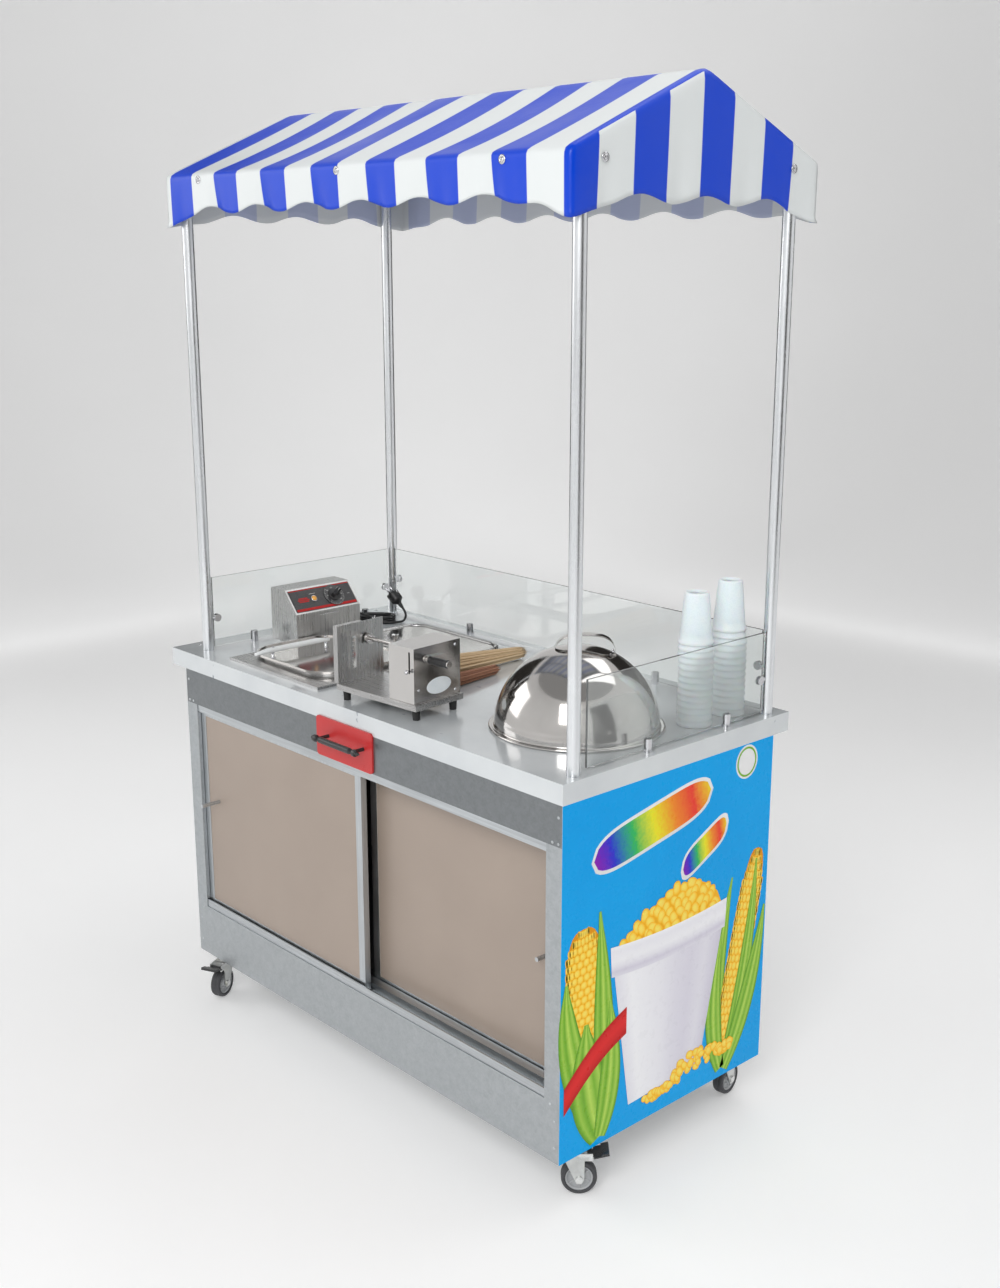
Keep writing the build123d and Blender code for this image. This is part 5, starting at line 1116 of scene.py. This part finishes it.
# ---------------------------------------------------------------- cutter details
CUTTER_AT = (-66.0, -275.0)
CUTTER_TURN = 4.0


def on_cutter(x, y, z):
    """Point from the cutter base's near left corner, in millimetres."""
    a = math.radians(CUTTER_TURN)
    return at(CUTTER_AT[0] + x * math.cos(a) - y * math.sin(a),
              CUTTER_AT[1] + x * math.sin(a) + y * math.cos(a), WORKTOP_Z + z)


def cutter_trim():
    a = math.radians(CUTTER_TURN)
    out = Vector((math.cos(a), math.sin(a), 0))
    back = Vector((-math.sin(a), math.cos(a), 0))
    heads = Build()
    for y, z in ((118, 138), (16, 62), (118, 44)):
        heads.lathe([(0.01, 1.9), (1.6, 1.7), (2.9, 0.9), (3.2, 0.1)], on_cutter(230, y, z), out, 20)
    heads.lathe([(0.01, 1.6), (6, 1.6), (7, 0.9), (7, 0.1)], on_cutter(230, 82, 119), out, 28)
    heads.make("gearbox_screws", NICKEL, slot="nickel")

    # spikes that hold the potato, and the fluted hub they stand on
    spikes = Build()
    for k in range(4):
        b = 2 * math.pi * k / 4 + 0.4
        foot = on_cutter(16, 82 + 7.2 * math.cos(b), 119 + 7.2 * math.sin(b))
        spikes.lathe([(1.5, 0), (1.3, 7), (0.2, 12)], foot, out, 10)
    spikes.lathe([(4.1, 0), (7.0, 0), (8.6, 2), (8.6, 5.5), (7.0, 8), (4.1, 8)],
                 on_cutter(148, 82, 119), out, 32)
    spikes.make("potato_spikes", NICKEL, body="crank", slot="stainless")

    oval = Build()
    ring = [on_cutter(230.15, 72 + 34 * math.cos(2 * math.pi * k / 48),
                      62 + 17 * math.sin(2 * math.pi * k / 48)) for k in range(48)]
    inner = [on_cutter(230.35, 72 + 32.6 * math.cos(2 * math.pi * k / 48),
                       62 + 15.6 * math.sin(2 * math.pi * k / 48)) for k in range(48)]
    oval.add(ring + inner, [(k, (k + 1) % 48, 48 + (k + 1) % 48, 48 + k) for k in range(48)]
             + [tuple(range(48, 96))])
    oval.make("gearbox_label", LABEL, slot="white_plastic", smooth=False)

    cap = Build()
    grip_low, grip_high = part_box("cutter_grip")
    grip_mid = (grip_low + grip_high) / 2
    n = 56
    profile = [(4.2, -26), (7.6, -25.8), (8.3, -25), (8.5, -23), (7.9, -21.5), (7.6, -19)]
    profile += [(7.6 + 0.75 * math.sin(math.pi * (k / 12)), -19 + 38 * k / 12) for k in range(1, 12)]
    profile += [(7.6, 19), (7.9, 21.5), (8.5, 23), (8.3, 25), (7.6, 25.8), (4.2, 26)]
    cap.lathe(profile, grip_mid, out, n, closed=True)
    cap.make("crank_grip_sleeve", BLACK, body="crank_grip", slot="black_plastic",
             replaces=("cutter_grip",))
    knob = Build()
    low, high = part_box("cutter_lever")
    ball = Vector(((low.x + high.x) / 2, low.y + 4.5 * MM, (low.z + high.z) / 2))
    knob.lathe([(0.01, -4.4), (2.4, -3.7), (4.0, -2.0), (4.5, 0), (4.0, 2.0), (2.6, 3.6), (2.0, 4.4),
                (2.0, 13.0), (0.01, 13.0)], ball, back, 28)
    knob.make("lever_ball", NICKEL, body="cutter_lever", slot="nickel", replaces=("cutter_lever",))


# ---------------------------------------------------------------- screws and rivets
def dome_heads(name, spots, radius, rise, material, replaces=(), washer=0.0, slot="nickel"):
    heads = Build()
    for spot, way in spots:
        profile = [(0.01, rise), (radius * 0.5, rise * 0.86), (radius * 0.85, rise * 0.45),
                   (radius, 0.25), (radius, -0.4)]
        if washer:
            profile = profile[:-1] + [(radius, 0.9), (washer, 0.8), (washer, -0.4)]
        heads.lathe(profile, spot, way, 24)
    return heads.make(name, material, slot=slot, replaces=replaces)


RIVET_SPOTS = ((9, 796), (9, 746), (24, 746), (12, 136.25), (12, 192.5), (24, 224))   # inset, z
RIVET_FROM_X = 622.5
CABINET_FRONT = -300
SCREW_SHARES = (-0.78, 0.0, 0.74)
SCREW_GABLE = (0.12, 0.88)
SCREW_DOWN = 12.8
CANOPY_HALF = 618


def fastenings():
    spots = []
    for side in (-1, 1):
        for inset, z in RIVET_SPOTS:
            spots.append((at(side * (RIVET_FROM_X - inset), CABINET_FRONT, z), (0, -1, 0)))
    dome_heads("rivet_heads", spots, 3.0, 1.6, SATIN_ALU_Z, ("panel_rivets",), slot="aluminium")
    spots = []
    eave = (cover_low.z / MM) + EAVE_DROP - SCREW_DOWN
    for share in SCREW_SHARES:
        for y, way in ((cover_low.y, (0, -1, 0)), (cover_high.y, (0, 1, 0))):
            spots.append((Vector((MIDDLE.x + share * CANOPY_HALF * MM, y, eave * MM)), way))
    for x, way in ((cover_low.x, (-1, 0, 0)), (cover_high.x, (1, 0, 0))):
        for share in SCREW_GABLE:
            spots.append((Vector((x, cover_low.y + share * (cover_high.y - cover_low.y), eave * MM)), way))
    dome_heads("cover_screws", spots, 4.6, 2.8, NICKEL, ("canopy_screws",), washer=8.0)
    spots = [(at(x, y, WORKTOP_Z), (0, 0, 1)) for x, y in
             ((-655, -240), (-655, 60), (-655, 290), (250, 318), (-200, 318), (590, -190))]
    dome_heads("worktop_screws", spots, 4.2, 1.5, NICKEL)


# ---------------------------------------------------------------- printed end panel
PANEL_X = 624.0
LEAF_STOPS = ((0.0, (0.05, 0.20, 0.01)), (0.45, (0.20, 0.46, 0.03)), (1.0, (0.52, 0.74, 0.12)))
CORN_STOPS = ((0.0, (0.76, 0.29, 0.0)), (0.35, (1.0, 0.52, 0.01)), (1.0, (1.0, 0.80, 0.14)))
CUP_STOPS = ((0.0, (0.52, 0.47, 0.60)), (0.5, (0.74, 0.72, 0.80)), (1.0, (0.93, 0.93, 0.95)))
RED_STOPS = ((0.0, (0.40, 0.0, 0.0)), (1.0, (0.74, 0.02, 0.02)))


class Print:
    """Flat printed shapes on the end panel, each vertex with its own shade."""

    def __init__(self, name, material):
        self.name, self.material = name, material
        self.build, self.shades = Build(), []

    def fan(self, outline, layer, rim=0.0, heart=1.0, offset=(0, 0)):
        """Closed shape shaded from its rim to its heart."""
        n = len(outline)
        y = sum(p[0] for p in outline) / n + offset[0]
        z = sum(p[1] for p in outline) / n + offset[1]
        x = PANEL_X + layer * 0.12
        verts = [at(x, a, b) for a, b in outline]
        half = [at(x, a + (y - a) * 0.45, b + (z - b) * 0.45) for a, b in outline]
        faces = [(k, (k + 1) % n, n + (k + 1) % n, n + k) for k in range(n)]
        faces += [(n + k, n + (k + 1) % n, 2 * n) for k in range(n)]
        self.build.add(verts + half + [at(x, y, z)], faces)
        self.shades += [rim] * n + [rim + (heart - rim) * 0.75] * n + [heart]

    def strip(self, left, right, layer, shades):
        """Ribbon between two edges, shaded across."""
        n = len(left)
        x = PANEL_X + layer * 0.12
        count = len(shades)
        verts = []
        for (y0, z0), (y1, z1) in zip(left, right):
            for k, shade in enumerate(shades):
                t = k / (count - 1)
                verts.append(at(x, y0 + (y1 - y0) * t, z0 + (z1 - z0) * t))
                self.shades.append(shade)
        faces = []
        for i in range(n - 1):
            for k in range(count - 1):
                faces.append((i * count + k, i * count + k + 1, (i + 1) * count + k + 1,
                              (i + 1) * count + k))
        self.build.add(verts, faces)

    def make(self):
        obj = self.build.make(self.name, self.material, slot="printed_sheet", smooth=False)
        shade = obj.data.attributes.new("shade", "FLOAT", "POINT")
        shade.data.foreach_set("value", self.shades)
        return obj


def oval(y, z, wide, tall, lean=0.0, count=14, square=1.0):
    points = []
    for k in range(count):
        a = 2 * math.pi * k / count
        c, s = math.cos(a), math.sin(a)
        u = wide * math.copysign(abs(c) ** square, c)
        v = tall * math.copysign(abs(s) ** square, s)
        points.append((y + u * math.cos(lean) - v * math.sin(lean),
                       z + u * math.sin(lean) + v * math.cos(lean)))
    return points


def leaf_edges(foot, bend, tip, wide, count=16):
    """Two edges of a pointed leaf along a bent centre line."""
    left, right = [], []
    for k in range(count + 1):
        t = k / count
        y = (1 - t) ** 2 * foot[0] + 2 * t * (1 - t) * bend[0] + t ** 2 * tip[0]
        z = (1 - t) ** 2 * foot[1] + 2 * t * (1 - t) * bend[1] + t ** 2 * tip[1]
        dy = 2 * (1 - t) * (bend[0] - foot[0]) + 2 * t * (tip[0] - bend[0])
        dz = 2 * (1 - t) * (bend[1] - foot[1]) + 2 * t * (tip[1] - bend[1])
        size = math.hypot(dy, dz)
        half = wide * (math.sin(math.pi * min(0.98, 0.16 + 0.84 * t)) ** 0.8) / 2
        left.append((y - dz / size * half, z + dy / size * half))
        right.append((y + dz / size * half, z - dy / size * half))
    return left, right


LEAF_SHADES = (0.15, 0.7, 0.35, 0.95, 0.45, 0.8, 0.1)


def cob(corn, leaf, foot, tip, wide, rows, across, layer):
    """An ear of corn: kernels in rows that narrow and round off at the tip."""
    axis = Vector((tip[0] - foot[0], tip[1] - foot[1]))
    length = axis.length
    axis.normalize()
    side = Vector((axis.y, -axis.x))
    lean = math.atan2(-axis.x, axis.y)
    corn.fan([tuple(Vector(foot) + axis * length * (0.5 + 0.51 * math.sin(a)) + side * wide * 0.5
                    * math.copysign(abs(math.cos(a)) ** 0.6, math.cos(a)))
              for a in (2 * math.pi * k / 32 for k in range(32))], layer, 0.0, 0.2)
    for r in range(rows):
        t = (r + 0.5) / rows
        half = wide * 0.5 * min(1.0, 3.0 * (1 - t) ** 0.62) * (0.86 + 0.14 * math.sin(math.pi * t))
        for c in range(across):
            u = (c + 0.5) / across * 2 - 1 + (0.5 / across if r % 2 else -0.5 / across)
            edge = math.sin(u * math.pi / 2)
            place = Vector(foot) + axis * (length * t + 2.5 * abs(edge)) + side * edge * half * 0.96
            grow = math.cos(u * math.pi / 2 * 0.82)
            corn.fan(oval(place.x, place.y, half / across * 1.45 * grow + 0.6,
                          length / rows * 0.56, lean, 10, 0.8), layer + 0.5,
                     0.15 + 0.2 * grow, 0.6 + 0.4 * grow, (-0.8, 1.6))


HEAP_LEFT = 500                # kernels' height at the cup's left rim
HEAP_TILT = 8                  # right rim above the left one
HEAP_RISE = 74
STICKER = (217, 783)


def heap_top(t):
    """Height of the heap of kernels across the cup, highest right of its middle."""
    return HEAP_LEFT + HEAP_TILT * t + HEAP_RISE * math.sin(math.pi * max(0.0, min(1.0, t)) ** 1.4) ** 0.6


def end_panel():
    corn = Print("print_corn", ink("ink_corn", CORN_STOPS))
    leaf = Print("print_leaves", ink("ink_leaf", LEAF_STOPS))
    cup = Print("print_cup", ink("ink_cup", CUP_STOPS))
    red = Print("print_ribbon", ink("ink_red", RED_STOPS))
    rng = random.Random(11)

    # tall ear of corn behind the cup
    leaf.strip(*leaf_edges((150, 150), (132, 320), (186, 545), 46), 1, LEAF_SHADES)
    cob(corn, leaf, (176, 178), (266, 584), 74, 26, 8, 2)
    leaf.strip(*leaf_edges((176, 128), (250, 300), (262, 566), 40), 4, LEAF_SHADES)
    leaf.strip(*leaf_edges((180, 120), (262, 250), (294, 455), 52), 5, LEAF_SHADES)
    leaf.strip(*leaf_edges((168, 124), (118, 250), (158, 430), 50), 5, LEAF_SHADES)

    # cup: shaded wall, rim band and the heap of kernels
    steps = 14
    left = [(-158 + 46 * k / steps, 448 - 292 * k / steps) for k in range(steps + 1)]
    right = [(158 - 58 * k / steps, 448 - 284 * k / steps) for k in range(steps + 1)]
    cup.strip(left, right, 6, (0.62, 0.95, 0.85, 0.75, 0.55, 0.45, 0.6, 0.3))
    crest = [(-152 + 304 * k / 24, heap_top(k / 24)) for k in range(25)]
    corn.strip([(y, 470) for y, _ in crest], [(y, z - 4) for y, z in crest], 6.3, (0.12, 0.2, 0.3))
    for row in range(6):
        for k in range(13):
            t = (k + 0.5 + 0.5 * (row % 2)) / 13.5
            y = -148 + 296 * t + rng.uniform(-5, 5)
            z = heap_top(t) - 9 - 17 * row + rng.uniform(-4, 4)
            if z < 488:
                continue
            lean = rng.uniform(-1.5, 1.5)
            corn.fan(oval(y, z, rng.uniform(13, 16), rng.uniform(10, 12), lean, 16, 0.85),
                     6.6 + row * 0.14 + k * 0.008, 0.22, 1.0, (-2.5, 3.5))
    rim_left, rim_right = [], []
    for k in range(13):
        t = k / 12
        y = -170 + 340 * t
        bow = 10 * (1 - (2 * t - 1) ** 2)
        rim_left.append((y, 507 - bow))
        rim_right.append((y + (0.5 - t) * 8, 445 - bow))
    cup.strip(rim_left, rim_right, 8, (0.98, 0.8, 0.86, 0.9, 0.7, 0.35, 0.55))

    # spilled kernels in front
    for k in range(58):
        t = (k + 0.5) / 58
        y = -62 + 270 * t + rng.uniform(-12, 12)
        z = 140 + 30 * t + 34 * math.sin(math.pi * t) ** 2 * rng.random() + rng.uniform(-4, 12)
        corn.fan(oval(y, z, rng.uniform(9, 13), rng.uniform(7.5, 10.5), rng.uniform(-1.2, 1.2), 12, 0.9),
                 9 + k * 0.02, 0.2, 1.0, (-2, 3))

    # plain ear in its husk, tied with a blank ribbon
    cob(corn, leaf, (-226, 300), (-243, 566), 104, 18, 9, 2)
    leaf.strip(*leaf_edges((-196, 132), (-290, 300), (-286, 470), 70), 5, LEAF_SHADES)
    leaf.strip(*leaf_edges((-186, 128), (-176, 330), (-200, 590), 56), 5.5, LEAF_SHADES)
    leaf.strip(*leaf_edges((-192, 122), (-236, 230), (-232, 372), 96), 6, LEAF_SHADES)
    leaf.strip(*leaf_edges((-192, 122), (-150, 230), (-168, 400), 58), 6.5, LEAF_SHADES)
    ribbon_low, ribbon_high = [], []
    for k in range(17):
        t = k / 16
        y, z = -290 + 168 * t, 232 + 110 * t + 14 * math.sin(math.pi * t)
        ribbon_low.append((y, z - 28))
        ribbon_high.append((y, z + 28))
    red.strip(ribbon_low, ribbon_high, 8.5, (0.2, 0.75, 1.0, 0.85, 0.3))

    for shape in (corn, leaf, cup, red):
        shape.make()

    # two plain rainbow swashes with a white edge
    white = Print("print_white", ink("ink_white", ((0.0, (0.78, 0.78, 0.78)), (1.0, (0.86, 0.86, 0.86)))))
    rainbow = Print("print_rainbow", ink("ink_rainbow", (
        (0.0, (0.30, 0.0, 0.42)), (0.17, (0.02, 0.03, 0.62)), (0.34, (0.03, 0.50, 0.10)),
        (0.50, (0.86, 0.80, 0.02)), (0.66, (0.90, 0.26, 0.02)), (0.82, (0.85, 0.04, 0.03)),
        (1.0, (0.92, 0.72, 0.02)))))
    steps = 30
    for start, end, z0, z1, tall in ((-218, 108, 692, 752, 74), (32, 160, 606, 668, 52)):
        slope = (z1 - z0) / (end - start)
        for shape, layer, grow in ((white, 1, 7), (rainbow, 2, 0)):
            lower, upper = [], []
            for k in range(steps + 1):
                t = k / steps
                y = start - grow + (end - start + 2 * grow) * t
                half = (tall / 2 + grow) * (1 - abs(2 * t - 1) ** 5) ** 0.5
                lower.append((y, z0 + slope * (y - start) - half))
                upper.append((y, z0 + slope * (y - start) + half))
            first = len(shape.shades)
            shape.strip(lower, upper, layer, (0.0, 0.5, 1.0))
            if shape is rainbow:
                for k in range(steps + 1):
                    for c in range(3):
                        shape.shades[first + k * 3 + c] = (k / steps) * 0.94 + 0.03 * c
    white.fan(oval(*STICKER, 34, 35, 0, 48), 1, 0.4, 0.8)
    leaf_ring = Print("print_sticker_ring", ink("ink_ring", LEAF_STOPS))
    rim = [oval(*STICKER, r, r + 1, 0, 48) for r in (26, 30)]
    leaf_ring.strip(*[edge + edge[:1] for edge in rim], 2, (0.3, 0.5, 0.3))
    leaf_ring.make()
    white.make()
    rainbow.make()


casters()
cloche()
cups()
skewers()
fryer_face()
lid_handle()
cutter_trim()
fastenings()
end_panel()


# ---------------------------------------------------------------- stage and light
PAPER_GLOW = 0.20
SKY_STRENGTH = 0.32
FLAG_OUT = 4.2                 # flags from the cart, in metres
FLAGS = ((-8, 1.1), (98, 2.2), (176, 1.6))   # heading and half width
FLAG_LOW = 0.4
FLAG_HIGH = 4.2
def stage():
    # paper dish: a flat floor that curves up into a wall on every side
    flat, bend, top, around = 4.2, 3.0, 9.0, 64
    profile = [(flat, 0.0)]
    for k in range(1, 13):
        a = math.pi / 2 * k / 12
        profile.append((flat + bend * math.sin(a), bend - bend * math.cos(a)))
    profile.append((flat + bend, top))
    verts = [Vector((0, 0, 0))]
    for radius, z in profile:
        for k in range(around):
            a = 2 * math.pi * k / around
            verts.append(Vector((radius * math.cos(a), radius * math.sin(a), z)))
    faces = [(0, 1 + k, 1 + (k + 1) % around) for k in range(around)]
    for ring in range(len(profile) - 1):
        for k in range(around):
            low, high = 1 + ring * around, 1 + (ring + 1) * around
            faces.append((low + k, high + k, high + (k + 1) % around, low + (k + 1) % around))
    p = Paint("studio_paper", Emission_Color=(1.0, 1.0, 1.0, 1.0), Emission_Strength=PAPER_GLOW)
    tone = p.noise(0.8, detail=3)
    p.set("Base Color", p.tint(tone, (0.3, (0.86, 0.86, 0.86)), (0.7, (0.89, 0.89, 0.89))))
    p.set("Roughness", p.spread(tone, 0.85, 0.95))
    sweep = piece("studio_sweep", verts, faces, p.mat, body=None)

    # dark flags out of the camera's sight, so that bright metal has something dark to mirror
    dark = Paint("studio_flag", Roughness=0.9)
    cloth = dark.noise(30, detail=4)
    dark.set("Base Color", dark.tint(cloth, (0.3, (0.015, 0.013, 0.012)), (0.7, (0.03, 0.026, 0.022))))
    for k, (angle, wide) in enumerate(FLAGS):
        spin = Matrix.Rotation(math.radians(angle), 3, "Z")
        corners = [spin @ Vector((FLAG_OUT, y, z)) for y, z in
                   ((-wide, FLAG_LOW), (wide, FLAG_LOW), (wide, FLAG_HIGH), (-wide, FLAG_HIGH))]
        flag = piece(f"studio_flag_{k}", corners, [(0, 1, 2, 3)], dark.mat, body=None)
        flag.visible_camera = False
        flag.visible_shadow = False

    world = bpy.data.worlds.new("studio")
    world.use_nodes = True
    world.node_tree.nodes["Background"].inputs["Color"].default_value = (1.0, 1.0, 1.0, 1.0)
    world.node_tree.nodes["Background"].inputs["Strength"].default_value = SKY_STRENGTH
    bpy.context.scene.world = world
    for name, place, aim, size_m, power in (
            ("key", (2.6, -3.4, 3.4), (0, 0, 0.9), 2.2, 95.0),
            ("fill", (-3.6, -2.4, 2.6), (0, 0, 0.9), 2.4, 30.0),
            ("top", (0.4, 1.2, 4.2), (0, 0, 1.2), 2.6, 36.0)):
        light = bpy.data.lights.new(name, "AREA")
        light.shape = "SQUARE"
        light.size = size_m
        light.energy = power
        obj = bpy.data.objects.new(name, light)
        obj.location = place
        obj.rotation_euler = (Vector(aim) - Vector(place)).to_track_quat("-Z", "Y").to_euler()
        bpy.context.scene.collection.objects.link(obj)
    bpy.context.scene.view_settings.view_transform = "Standard"


stage()
